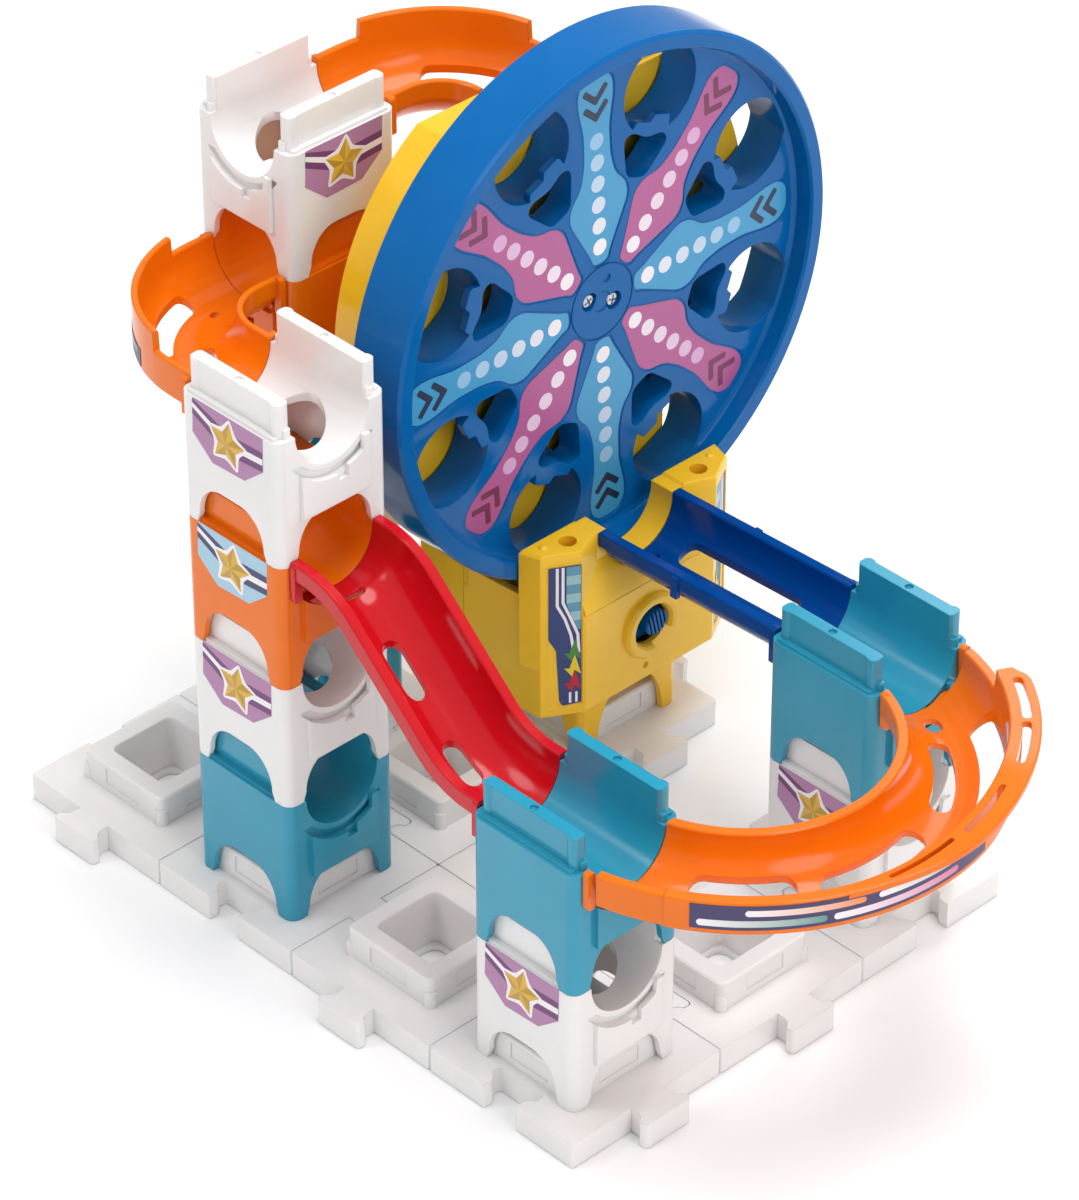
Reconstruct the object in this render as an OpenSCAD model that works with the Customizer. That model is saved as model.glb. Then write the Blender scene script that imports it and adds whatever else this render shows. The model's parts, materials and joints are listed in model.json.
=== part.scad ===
// Marble run with a motor-driven lifting wheel, stacked tower blocks, tracks and jigsaw floor tiles.
// Millimetres, +Z up, floor at z = 0. X and Y run along the tile grid.

/* [Grid] */
// distance between tile centres
pitch = 70; // [50:1:100]
// thickness of a floor tile
tile_h = 10.5; // [6:0.5:16]
// height one tower block adds to a tower
level_h = 50; // [40:1:70]
// gap between parts that only rest beside each other
gap = 0.3; // [0.1:0.05:0.6]

/* [Tiles] */
// outer width of the raised locating ring
ring_w = 42.6; // [30:0.2:44]
// width of the opening through ring and tile
ring_open = 28; // [16:1:34]
// height of the ring above the tile
ring_h = 12; // [6:0.5:16]
// how far a jigsaw tab stands out
tab_l = 10; // [6:0.5:14]
// half width of a tab at its neck
tab_neck = 7.5; // [5:0.5:10]
// half width of a tab at its end
tab_end = 10.5; // [7:0.5:14]

/* [Blocks] */
// outer width of a block
block_w = 49; // [44:0.5:56]
// wall thickness of blocks
wall = 2.4; // [1.6:0.1:3.5]
// radius of the vertical edges
edge_r = 4; // [1:0.5:8]
// height of the two ridges beside the channel
ridge_h = 13; // [6:0.5:18]
// outer face of a ridge from the channel centre line
ridge_out = 21.6; // [18:0.1:22]
// half width of the arch in each side
arch_w = 16.4; // [10:0.2:19]
// height of the arch
arch_h = 17; // [10:0.5:24]
// radius of the drop hole for the marble
drop_r = 14; // [13:0.5:15.5]

/* [Tracks] */
// inside radius of every channel
chan_r = 16.4; // [14:0.1:20]
// wall thickness of tracks
track_t = 2.2; // [1.4:0.1:3]
// outer edge of the track rim from the centre line
rim_out = 21; // [19:0.1:24]
// height of the rim above the centre line
rim_up = 2; // [1:0.5:5]
// depth of the rim skirt below the centre line
rim_down = 4.5; // [2:0.5:10]
// height of the raised outer guard on the curves
guard_h = 9.8; // [4:0.1:14]
// bend angle of the slide's S shape
slide_a = 42; // [30:1:55]
// fall of the straight chute
chute_fall = 3.5; // [1:0.5:8]

/* [Wheel] */
// outer radius of the lifting wheel
wheel_r = 103.5; // [90:0.5:110]
// height of the axle above the floor
axle_z = 187; // [170:1:210]
// back face of the wheel
wheel_x0 = 97; // [90:0.5:105]
// front edge of the wheel's rim
wheel_x1 = 121.8; // [115:0.2:130]
// front face of the wheel's web
web_x = 113.6; // [105:0.2:120]
// radius of the circle the cup centres lie on
cup_pcd_r = 79; // [70:0.5:86]
// radius of a cup
cup_r = 17.5; // [15:0.1:20]
// turn of the spoke pattern
wheel_turn = 2.5; // [-22:0.5:22]
// radius of the steel axle
axle_r = 3; // [2:0.1:5]
// radial running clearance of pins in bores
run_fit = 0.05; // [0.01:0.01:0.1]

/* [Housing] */
// radius of the round rear housing
house_r = 87.5; // [70:0.5:95]
// back face of the rear housing
house_x0 = 72; // [65:0.5:80]
// flat top of the rear housing
house_top = 260.5; // [240:0.5:270]
// wall of the yellow shells
shell_t = 2.2; // [1.6:0.1:3]
// front face of the base
front_x = 139.3; // [130:0.1:150]
// underside of the base body
body_z0 = 39.5; // [30:0.5:50]
// top of the front pillars
pillar_z = 109.5; // [100:0.5:120]
// travel of the on/off switch
switch_travel = 5; // [2:0.5:8]

/* [Hidden] */
eps = 0.02;
arc_fn = 96;
small_fn = 32;
chan_out = chan_r + track_t;
half_b = block_w / 2;
cav = half_b - wall;
shoulder = function(n) tile_h + n * level_h;
run_y = 2.5 * pitch;
unit_x = 1.5 * pitch;
slot_w = 8;
lead = pitch / 2 - half_b - gap;
hub_turn = -20;
hub_hole_r = 6.3;
switch_y = 2.5;
switch_z = 62;

// battery opening in the rear shell: width, height and foot
door_w = 60;
door_h = 38;
door_z = 56;

// screws that join the housing, from the run's centre plane and the floor
shell_screw_yz = [[-40, 50], [40, 50], [-60, 150], [60, 150]];

// low curve: arc through both right-hand towers' outer faces
low_r = 1.03 * pitch;
face_x = 3.5 * pitch + half_b + gap;
low_cx = face_x - sqrt(low_r * low_r - pitch * pitch);

// frame origin: on the underside of a tile's tab near the middle of the layout
origin_x = 2.05 * pitch;
origin_y = 1.5 * pitch;

// gear train
wheel_m = 1.5;
wheel_teeth = 40;
idler_small_teeth = 12;
motor_m = 1;
idler_big_teeth = 36;
pinion_teeth = 10;
idler_z = axle_z - wheel_m * (wheel_teeth + idler_small_teeth) / 2;
motor_z = idler_z - motor_m * (idler_big_teeth + pinion_teeth) / 2;

// ---------- shared shapes ----------

// moves grid coordinates into the part's frame
module placed() {
    translate([-origin_x, -origin_y, 0])
        children();
}

module rounded_square(w, d, r) {
    square([w - 2 * r, d], center = true);
    square([w, d - 2 * r], center = true);
    for (i = [-1, 1], j = [-1, 1])
        translate([i * (w / 2 - r), j * (d / 2 - r)])
            circle(r = r, $fn = small_fn);
}

module rounded_prism(w, r, z0, z1) {
    translate([0, 0, z0])
        linear_extrude(z1 - z0)
            rounded_square(w, w, r);
}

// cylinder along +X from x0 to x1
module x_rod(r, x0, x1, fn = small_fn) {
    translate([x0, 0, 0])
        rotate([0, 90, 0])
            cylinder(r = r, h = x1 - x0, $fn = fn);
}

// puts a 2D shape drawn in (y, z) into the model, extruded along +X
module x_plate(x0, x1) {
    translate([x0, 0, 0])
        rotate([90, 0, 90])
            linear_extrude(x1 - x0)
                children();
}

// arch seen from the side, standing on y = 0
module arch_2d() {
    r = arch_w - 3;
    translate([-arch_w, -1])
        square([2 * arch_w, arch_h - r + 1]);
    translate([-arch_w + r, -1])
        square([2 * (arch_w - r), arch_h + 1]);
    for (s = [-1, 1])
        translate([s * (arch_w - r), arch_h - r])
            circle(r = r, $fn = arc_fn);
}

module arches() {
    for (a = [0, 90])
        rotate([0, 0, a])
            x_plate(-block_w, block_w)
                arch_2d();
}

// ---------- floor tiles ----------

// jigsaw tab pointing to +X from the tile's side; grow widens it for the matching notch
module tab_2d(grow = 0) {
    base = pitch / 2;
    difference() {
        translate([base - 3, -tab_end - grow])
            square([tab_l + 3 + grow, 2 * (tab_end + grow)]);
        for (s = [-1, 1])
            translate([base + 2.6, s * (tab_neck + 4.4)])
                circle(r = 4.4 - grow, $fn = small_fn);
        for (s = [-1, 1])
            translate([base - 4, s * (tab_neck + 4.4) - 4.4 + grow])
                square([6.6, 8.8 - 2 * grow]);
    }
}

// male on +X and -Y, female on -X and +Y
module tile_2d() {
    difference() {
        union() {
            square(pitch - gap, center = true);
            tab_2d();
            rotate(-90)
                tab_2d();
        }
        translate([-pitch, 0])
            tab_2d(gap);
        translate([0, pitch])
            rotate(-90)
                tab_2d(gap);
        rounded_square(ring_open, ring_open, 3);
    }
}

module tile() {
    color([0.93, 0.90, 0.87]) {
        linear_extrude(tile_h)
            tile_2d();
        difference() {
            rounded_prism(ring_w, 3, tile_h - eps, tile_h + ring_h);
            rounded_prism(ring_open, 3, tile_h - 1, tile_h + ring_h + 1);
        }
    }
}

module tile_at(i, j, turn = 0) {
    placed()
        translate([(i + 0.5) * pitch, (j + 0.5) * pitch, 0])
            rotate([0, 0, turn])
                tile();
}

// ---------- tower blocks ----------

// stepped lip below a channel mouth; a track's tongue drops in behind it
module hook_lip() {
    lip_t = 1.8;
    difference() {
        translate([half_b - 0.6, -15, arch_h])
            cube([lip_t + 0.6, 30, 19]);
        translate([0, 0, level_h])
            x_rod(chan_out + 3, half_b - 2, half_b + lip_t + 1, arc_fn);
        translate([half_b - 2, 2, level_h - chan_out - 4.6])
            cube([lip_t + 4, 14, 14]);
    }
}

// pocket behind the lip
module hook_pocket() {
    translate([0, 0, level_h])
        difference() {
            x_rod(chan_out + 3, half_b - 3, half_b + eps, arc_fn);
            x_rod(chan_out, half_b - 4, half_b + 1, arc_fn);
            translate([half_b - 4, -block_w, -level_h * 0.5 + 12])
                cube([8, 2 * block_w, level_h]);
        }
}

module ridge(s) {
    len = block_w - 6;
    post_r = 3;
    mid = (chan_r + ridge_out) / 2;
    difference() {
        translate([0, 0, level_h - 1])
            linear_extrude(ridge_h + 1) {
                translate([-len / 2 + 1, s * mid - (ridge_out - chan_r) / 2])
                    square([len - 2, ridge_out - chan_r]);
                for (e = [-1, 1])
                    translate([e * (len / 2 - post_r), s * (ridge_out - post_r + 0.2)])
                        circle(r = post_r, $fn = small_fn);
            }
        translate([0, s * mid, level_h + ridge_h - 1.2])
            cylinder(r = 1.6, h = 2, $fn = small_fn);
    }
}

// open runs the channel to -X as well; drop cuts the marble's hole through the trough
module block(open = true, drop = false) {
    difference() {
        union() {
            difference() {
                rounded_prism(block_w, edge_r, 0, level_h);
                rounded_prism(2 * cav, edge_r - wall, -1, level_h - wall);
                arches();
                hook_pocket();
                if (open)
                    mirror([1, 0, 0])
                        hook_pocket();
            }
            intersection() {
                rounded_prism(block_w - 1, edge_r, level_h - chan_out, level_h);
                translate([0, 0, level_h])
                    x_rod(chan_out, -half_b, half_b, arc_fn);
            }
            for (s = [-1, 1])
                ridge(s);
            hook_lip();
            if (open)
                mirror([1, 0, 0])
                    hook_lip();
        }
        translate([0, 0, level_h]) {
            x_rod(chan_r, open ? -block_w : 0, block_w, arc_fn);
            if (!open)
                sphere(r = chan_r, $fn = arc_fn);
        }
        translate([open ? -block_w : 0, -chan_r, level_h])
            cube([(open ? 2 : 1) * block_w, 2 * chan_r, level_h]);
        if (!open)
            translate([0, 0, level_h])
                cylinder(r = chan_r, h = level_h, $fn = arc_fn);
        if (drop)
            translate([0, 0, level_h - 2 * chan_r])
                cylinder(r = drop_r, h = 3 * chan_r, $fn = arc_fn);
    }
}

module block_at(i, j, level, turn, tint, open = true, drop = false) {
    color(tint)
        placed()
            translate([(i + 0.5) * pitch, (j + 0.5) * pitch, shoulder(level - 1)])
                rotate([0, 0, turn])
                    block(open, drop);
}

white = [0.93, 0.91, 0.89];
teal = [0.20, 0.56, 0.70];
orange = [0.95, 0.45, 0.08];
red = [0.82, 0.08, 0.12];
blue = [0.05, 0.38, 0.72];
navy = [0.05, 0.18, 0.45];
yellow = [0.90, 0.70, 0.16];

// ---------- tracks ----------

// channel section: x across, y up, centre line at the origin
module track_2d() {
    difference() {
        union() {
            intersection() {
                circle(r = chan_out, $fn = arc_fn);
                translate([-rim_out, -2 * chan_out])
                    square([2 * rim_out, 2 * chan_out]);
            }
            translate([-rim_out, -rim_down])
                square([2 * rim_out, rim_down + rim_up]);
        }
        circle(r = chan_r, $fn = arc_fn);
        translate([-chan_r, 0])
            square([2 * chan_r, rim_up + 1]);
    }
}

// straight channel from the origin along +X
module track_straight(len) {
    rotate([90, 0, 90])
        linear_extrude(len)
            track_2d();
}

// tongue that hooks behind a block's lip: from the origin towards -X
module tongue() {
    difference() {
        x_rod(chan_out + 2.6, -2.4, 3, arc_fn);
        x_rod(chan_out + 0.3, -4, -gap, arc_fn);
        x_rod(chan_r + 1, -gap, 4, arc_fn);
        translate([-5, -block_w, -level_h * 0.5 + 10.5])
            cube([10, 2 * block_w, level_h]);
    }
}

// curved slot through a track's floor, centred on radius r between angles a0 and a1
module curved_slot(r, a0, a1, w) {
    rotate([0, 0, a0])
        rotate_extrude(angle = a1 - a0, $fn = arc_fn)
            translate([r - w / 2, -2 * chan_out])
                square([w, 2 * chan_out]);
}

// raised outer guard: a wall with a lip turned outwards
module guard(r, a0, a1, lip) {
    rotate([0, 0, a0])
        rotate_extrude(angle = a1 - a0, $fn = arc_fn)
            translate([r, 0]) {
                translate([chan_r + 0.2, 0])
                    square([track_t, guard_h]);
                translate([chan_r, guard_h - 1.8])
                    square([lip, 1.8]);
            }
}

// outer skirt below the rim
module skirt(r, a0, a1, depth) {
    rotate([0, 0, a0])
        rotate_extrude(angle = a1 - a0, $fn = arc_fn)
            translate([r + rim_out - 2, -depth])
                square([1.8, depth - 1]);
}

// quarter turn about the origin: starts at +Y heading -X, ends at -X heading -Y
module quarter_curve(lead_start, lead_end) {
    r = pitch / 2;
    difference() {
        union() {
            rotate([0, 0, 90])
                rotate_extrude(angle = 90, $fn = arc_fn)
                    translate([r, 0])
                        track_2d();
            translate([0, r, 0])
                track_straight(lead_start);
            translate([-r, -lead_end, 0])
                rotate([0, 0, 90])
                    track_straight(lead_end);
            guard(r, 100, 170, rim_out - chan_r + 0.4);
            skirt(r, 96, 174, 14);
        }
        curved_slot(r + 10, 108, 142, 6.5);
        curved_slot(r - 5, 150, 168, 6.5);
    }
    translate([-r, -lead_end, 0])
        rotate([0, 0, 90])
            tongue();
}

// ---------- wheel parts ----------

// spoke label outline, hub at the origin, pointing along +X
module spoke_2d(grow = 0) {
    g = grow;
    polygon([[16 - g, -2.5 - g], [19.5, -5.2 - g], [42, -13.5 - g], [47, -13 - g], [51, -8.6 - g],
        [60, -6.2 - g], [72, -6.2 - g], [84, -8.2 - g], [89.5 + g, -7.4 - g], [92.5 + g, -4],
        [92.5 + g, 4], [89.5 + g, 7.4 + g], [84, 8.2 + g], [72, 6.2 + g], [60, 6.2 + g],
        [51, 8.6 + g], [47, 13 + g], [42, 13.5 + g], [19.5, 5.2 + g], [16 - g, 2.5 + g]]);
}

// cup outline along +X: round inside, cut by the rim outside, with a small step at its foot
module cup_2d(grow = 0) {
    intersection() {
        translate([cup_pcd_r, 0])
            circle(r = cup_r + grow, $fn = arc_fn);
        circle(r = wheel_r - 9 + grow, $fn = arc_fn);
    }
    translate([cup_pcd_r - cup_r - 1.5 - grow, -5 - grow])
        square([8, 10 + 2 * grow]);
}

module window_2d() {
    polygon([[48.5, -4.5], [61, -9], [62.5, -7.5], [62.5, 7.5], [61, 9], [48.5, 4.5]]);
}

// places children on the axle line, looking along +X
module on_axle(z = axle_z) {
    translate([0, run_y, z])
        children();
}

// rotates a (y, z) pattern about the axle by k eighths plus an offset
module around(offset, count = 8) {
    for (k = [0:count - 1])
        rotate([wheel_turn + offset + k * 360 / count, 0, 0])
            children();
}

// the two screw places of the hub
module hub_holes() {
    for (s = [-1, 1])
        rotate([hub_turn, 0, 0])
            translate([0, s * hub_hole_r, 0])
                children();
}

module wheel() {
    web_t = 3;
    cup_wall = 1.8;
    lip_in = wheel_r - 7;
    color(blue)
        placed()
            on_axle()
                difference() {
                    union() {
                        difference() {
                            x_rod(wheel_r, wheel_x0, wheel_x1, 2 * arc_fn);
                            x_rod(lip_in, web_x, wheel_x1 + 1, 2 * arc_fn);
                            x_rod(wheel_r - 3, wheel_x0 - 1, web_x - web_t, 2 * arc_fn);
                        }
                        around(22.5)
                            x_plate(wheel_x0, web_x - web_t + eps)
                                cup_2d(cup_wall);
                        x_rod(12, wheel_x0 + 1, web_x, arc_fn);
                    }
                    around(22.5) {
                        x_plate(wheel_x0 - 1, web_x + 1)
                            cup_2d();
                        x_plate(web_x - web_t - 1, web_x + 1)
                            window_2d();
                    }
                    x_rod(axle_r, wheel_x0, web_x - 2, small_fn);
                    hub_holes()
                        x_rod(1.3, web_x - 9, web_x + 1, small_fn);
                }
}

module hub_cap() {
    color(blue)
        placed()
            on_axle()
                difference() {
                    x_rod(15.2, web_x, web_x + 2.4, arc_fn);
                    hub_holes() {
                        x_rod(3.2, web_x + 1.2, web_x + 3, small_fn);
                        x_rod(1.7, web_x - 1, web_x + 3, small_fn);
                    }
                }
}

module hub_screws() {
    color([0.8, 0.8, 0.82])
        placed()
            on_axle()
                hub_holes()
                    difference() {
                        union() {
                            x_rod(2.9, web_x + 1.2, web_x + 2.8, small_fn);
                            x_rod(1.3, web_x - 8, web_x + 1.3, small_fn);
                        }
                        translate([web_x + 2.9, 0, 0]) {
                            cube([1.8, 3.6, 0.9], center = true);
                            cube([1.8, 0.9, 3.6], center = true);
                        }
                    }
}

module spoke_labels(start, tint) {
    color(tint)
        placed()
            on_axle()
                around(start, 4)
                    x_plate(web_x, web_x + 0.3)
                        spoke_2d();
}

module axle() {
    color([0.75, 0.75, 0.78])
        placed()
            on_axle()
                x_rod(axle_r, house_x0 + shell_t + 0.4, web_x - 2, small_fn);
}

// spur gear, tooth centred on +Y of its (y, z) plane, running along X
module spur_gear(teeth, m, x0, x1, bore) {
    rp = teeth * m / 2;
    w = PI * m / 4;
    x_plate(x0, x1)
        difference() {
            union() {
                circle(r = rp - 1.2 * m, $fn = arc_fn);
                for (k = [0:teeth - 1])
                    rotate(k * 360 / teeth)
                        polygon([[rp - 1.6 * m, -1.2 * w], [rp, -0.86 * w], [rp + 0.8 * m, -0.42 * w],
                            [rp + 0.8 * m, 0.42 * w], [rp, 0.86 * w], [rp - 1.6 * m, 1.2 * w]]);
            }
            circle(r = bore, $fn = small_fn);
        }
}

module wheel_gear() {
    color([0.93, 0.93, 0.90])
        placed()
            on_axle()
                rotate([-90, 0, 0])
                    spur_gear(wheel_teeth, wheel_m, 91, 93.6, axle_r);
}

module idler_gear() {
    color([0.90, 0.90, 0.86])
        placed()
            on_axle(idler_z) {
                rotate([90 + 180 / idler_small_teeth, 0, 0])
                    spur_gear(idler_small_teeth, wheel_m, 90.6, 93.8, 2 + run_fit);
                rotate([-90, 0, 0])
                    spur_gear(idler_big_teeth, motor_m, 87.8, 90.6 + eps, 2 + run_fit);
            }
}

module motor_pinion() {
    color([0.85, 0.72, 0.35])
        placed()
            on_axle(motor_z)
                rotate([90 + 180 / pinion_teeth, 0, 0])
                    spur_gear(pinion_teeth, motor_m, 87.4, 90.6, 1);
}

module motor() {
    color([0.7, 0.7, 0.72])
        placed()
            on_axle(motor_z)
                difference() {
                    x_rod(11, 75, 86.6, arc_fn);
                    x_rod(1 + run_fit, 80, 87, small_fn);
                }
}

// ---------- yellow shells ----------

// outline of the base seen from above; inset shrinks it by the wall
module base_2d(x0, inset = 0) {
    i = inset;
    polygon([[x0 + i, -49 + i], [131 - i * 0.6, -46.5 + i], [front_x - i, -32 + i * 0.4],
        [front_x - i, 32 - i * 0.4], [131 - i * 0.6, 46.5 - i], [x0 + i, 49 - i]]);
}

// round housing outline in (y, z) about the axle, flat on top, running down into the base
module house_2d(inset = 0) {
    difference() {
        union() {
            circle(r = house_r - inset, $fn = arc_fn);
            translate([-49 + inset, body_z0 - axle_z + inset])
                square([98 - 2 * inset, axle_z - body_z0 - 2 * inset]);
        }
        translate([-house_r, house_top - axle_z - inset])
            square([2 * house_r, house_r]);
    }
}

// the marble's way out at the top, centred on the highest track's channel
module outlet(r, x0, x1) {
    translate([0, run_y, shoulder(5)])
        x_rod(r, x0, x1, arc_fn);
}

module rear_shell() {
    color(yellow)
        placed()
            difference() {
                union() {
                    difference() {
                        on_axle()
                            x_plate(house_x0, 94)
                                house_2d();
                        on_axle()
                            x_plate(house_x0 + shell_t, 95)
                                house_2d(shell_t);
                    }
                    intersection() {
                        outlet(chan_out, house_x0, 94);
                        on_axle()
                            x_plate(house_x0, 94)
                                house_2d();
                    }
                    on_axle()
                        x_rod(6, house_x0 + 1, 80, small_fn);
                    on_axle(idler_z)
                        x_rod(2, house_x0 + 1, 93.8, small_fn);
                    on_axle(motor_z)
                        x_rod(7, house_x0 + 1, 75 - gap, small_fn);
                    for (p = shell_screw_yz)
                        translate([0, run_y + p[0], p[1]])
                            x_rod(4, house_x0 + 1, 94 - gap, small_fn);
                }
                outlet(chan_r, house_x0 - 1, 95);
                on_axle()
                    x_rod(axle_r + run_fit, house_x0 + shell_t, 81, small_fn);
                for (p = shell_screw_yz)
                    translate([0, run_y + p[0], p[1]])
                        x_rod(1.6, house_x0 - 1, 95, small_fn);
                translate([house_x0 - 1, run_y - door_w / 2, door_z])
                    cube([shell_t + 2, door_w, door_h]);
            }
    color(yellow)
        placed()
            translate([unit_x, run_y, 0])
                base_feet(0);
}

// four corner feet that straddle a tile's ring; side 0 is the rear pair, 1 the front pair
module base_feet(side) {
    intersection() {
        difference() {
            rounded_prism(block_w, edge_r, tile_h, body_z0 + eps);
            rounded_prism(2 * cav, edge_r - wall, tile_h - 1, body_z0 + 1);
            translate([0, 0, tile_h])
                for (a = [0, 90])
                    rotate([0, 0, a])
                        x_plate(-block_w, block_w)
                            translate([0, 4])
                                arch_2d();
            translate([0, 0, tile_h])
                arches();
        }
        translate([side == 0 ? -block_w : -unit_x + 94 + gap, -block_w, 0])
            cube([side == 0 ? block_w - unit_x + 94 : block_w, 2 * block_w, level_h]);
    }
}

module gear_cover() {
    color(yellow)
        placed()
            difference() {
                on_axle()
                    x_plate(94, 94 + 2)
                        difference() {
                            house_2d(gap);
                            translate([-house_r, -axle_z])
                                square([2 * house_r, 81]);
                        }
                outlet(chan_r, 90, 98);
                on_axle()
                    x_rod(axle_r + run_fit, 90, 98, small_fn);
            }
}

module pillar(s) {
    translate([0, 0, body_z0])
        linear_extrude(pillar_z - body_z0)
            mirror([0, s < 0 ? 1 : 0, 0])
                polygon([[122.6, 49], [131, 46.5], [front_x, 32], [front_x, 21], [122.6, 19]]);
}

// low walls on the base's two long sides, up to just under the wheel's rim
module side_walls(top_z) {
    inner_y = 44.5;
    end_x = 124;
    side_z = 89;
    translate([0, 0, top_z - 1])
        linear_extrude(side_z - top_z + 1)
            difference() {
                base_2d(96 + gap);
                translate([90, -inner_y])
                    square([50, 2 * inner_y]);
                translate([end_x, -50])
                    square([20, 100]);
            }
}

module front_shell() {
    top_z = 81;
    shelf_z = 84;
    chute_z = shoulder(2) - chute_fall;
    color(yellow)
        placed()
            translate([0, run_y, 0])
                difference() {
                    union() {
                        difference() {
                            union() {
                                translate([0, 0, body_z0])
                                    linear_extrude(top_z - body_z0)
                                        base_2d(94 + gap);
                                translate([122.6, -30, body_z0])
                                    cube([front_x - 122.6, 60, shelf_z - body_z0]);
                                for (s = [-1, 1])
                                    pillar(s);
                                side_walls(top_z);
                                translate([122.6, -22, body_z0])
                                    cube([9, 44, chute_z - body_z0]);
                            }
                            translate([0, 0, body_z0 + shell_t])
                                linear_extrude(top_z - body_z0 - 2 * shell_t)
                                    base_2d(94 - shell_t, shell_t);
                            for (s = [-1, 1])
                                translate([129, s * 30, top_z - shell_t - 1])
                                    cylinder(r = 4.5, h = pillar_z - top_z, $fn = small_fn);
                        }
                        translate([0, 0, switch_z])
                            difference() {
                                x_rod(14, front_x - 1, front_x + 1.4, arc_fn);
                                x_rod(9.5, front_x - 2, front_x + 3, arc_fn);
                                translate([front_x - 3, 4, -20])
                                    cube([8, 20, 14]);
                            }
                    }
                    translate([0, 0, chute_z])
                        x_rod(chan_out + gap, 120, front_x + 2, arc_fn);
                    translate([120, -rim_out - gap, chute_z - rim_down - gap])
                        cube([front_x - 118, 2 * (rim_out + gap), pillar_z]);
                    translate([0, 0, switch_z])
                        x_rod(8, front_x - 8, front_x + 3, arc_fn);
                    for (s = [-1, 1])
                        translate([129, s * 30, pillar_z - 8])
                            cylinder(r = 3, h = 10, $fn = small_fn);
                    translate([0, 0, 45])
                        x_rod(1.2, front_x - 1, front_x + 1, small_fn);
                }
    color(yellow)
        placed()
            translate([unit_x, run_y, 0])
                base_feet(1);
}

module shell_screws() {
    color([0.8, 0.8, 0.82])
        placed()
            for (p = shell_screw_yz)
                translate([0, run_y + p[0], p[1]])
                    x_rod(1.6, house_x0 + 0.5, 93, small_fn);
}

module battery_door() {
    color(yellow)
        placed()
            translate([house_x0, run_y - door_w / 2 + gap, door_z + gap])
                cube([shell_t, door_w - 2 * gap, door_h - 2 * gap]);
}

// three AA cells lying across the base
module batteries() {
    color([0.25, 0.25, 0.28])
        placed()
            for (k = [0:2])
                translate([84 + k * 15.5, run_y, 54])
                    rotate([90, 0, 0])
                        cylinder(r = 7, h = 49, center = true, $fn = arc_fn);
}

module battery_contacts() {
    color([0.78, 0.78, 0.8])
        placed()
            for (s = [-1, 1])
                translate([77, run_y + s * 25.4 - 0.3, 48])
                    cube([46, 0.6, 12]);
}

module switch_knob() {
    color(blue)
        placed()
            translate([0, run_y + switch_y, switch_z]) {
                difference() {
                    x_rod(5, 134.5, front_x + 0.6, arc_fn);
                    for (k = [-2:2])
                        translate([front_x + 0.6, k * 1.9, 0])
                            cube([1.2, 0.8, 12], center = true);
                }
                translate([132.6, -4, -3])
                    cube([2, 8, 6]);
            }
}

module switch_body() {
    color([0.15, 0.15, 0.16])
        placed()
            translate([124, run_y - 9, 56])
                cube([8.4, 20, 12]);
}

// ---------- labels ----------

module shield_2d() {
    polygon([[-17.5, 7], [17.5, 7], [17.5, -6.5], [8, -14.2], [-8, -15], [-17.5, -7]]);
}

module base_labels() {
    color(navy)
        placed()
            for (s = [0, 1])
                translate([131, run_y, 44])
                    mirror([0, s, 0])
                        translate([0, 46.5, 0])
                            rotate([0, 0, atan2(-14.5, front_x - 131)])
                                translate([2.5, 0, 0])
                                    cube([11.5, 0.3, 58]);
}

module block_label(i, j, level, turn) {
    translate([(i + 0.5) * pitch, (j + 0.5) * pitch, shoulder(level - 1) + 35.5])
        rotate([0, 0, turn])
            translate([0, -half_b, 0])
                rotate([90, 0, 0])
                    linear_extrude(0.25)
                        shield_2d();
}

module block_labels() {
    color([0.69, 0.5, 0.65])
        placed() {
        for (l = [2, 3, 4])
            block_label(1, 0, l, 0);
        block_label(0, 1, 5, 90);
        block_label(3, 0, 1, 0);
        block_label(3, 2, 1, 0);
    }
}

// thin arc strip standing on edge, for the outer skirts
module arc_label(r, a0, a1, z0, z1) {
    rotate([0, 0, a0])
        rotate_extrude(angle = a1 - a0, $fn = arc_fn)
            translate([r, z0])
                square([0.3, z1 - z0]);
}

module curve_labels() {
    color(navy)
        placed() {
            translate([low_cx, 1.5 * pitch, shoulder(2)])
                arc_label(low_r + rim_out, -56, 13, -9.5, -1.5);
            translate([pitch, pitch, shoulder(4)])
                arc_label(pitch / 2 + rim_out, 200, 250, -12, -2);
        }
}

// ---------- placed tracks ----------

module curve_top() {
    color(orange)
        placed()
            translate([pitch, 2 * pitch, shoulder(5)])
                quarter_curve(house_x0 - gap - pitch, lead);
}

module curve_mid() {
    color(orange)
        placed()
            translate([pitch, pitch, shoulder(4)])
                rotate([0, 0, 90]) {
                    quarter_curve(lead, lead);
                    translate([lead, pitch / 2, 0])
                        mirror([1, 0, 0])
                            tongue();
                }
}

module curve_low() {
    r = low_r;
    cx = low_cx;
    a = asin(pitch / r);
    color(orange)
        placed()
            translate([cx, 1.5 * pitch, shoulder(2)])
                difference() {
                    union() {
                        rotate([0, 0, -a - 8])
                            rotate_extrude(angle = 2 * (a + 8), $fn = arc_fn)
                                translate([r, 0])
                                    track_2d();
                        guard(r, -24, 62, 11);
                        skirt(r, -70, 70, 10);
                    }
                    for (p = [[-52, -28], [-14, 10]])
                        curved_slot(r, p[0], p[1], slot_w);
                    translate([-pitch, -2 * pitch, -pitch])
                        cube([pitch + face_x - cx, 4 * pitch, 2 * pitch]);
                }
    color(orange)
        placed()
            for (s = [-1, 1])
                translate([face_x, (1.5 + s) * pitch, shoulder(2)])
                    tongue();
}

// slot through a track floor between x0 and x1
module floor_slot(x0, x1) {
    translate([x0, -slot_w / 2, -30])
        cube([x1 - x0, slot_w, 25]);
    for (x = [x0, x1])
        translate([x, 0, -30])
            cylinder(r = slot_w / 2, h = 25, $fn = small_fn);
}

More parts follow.
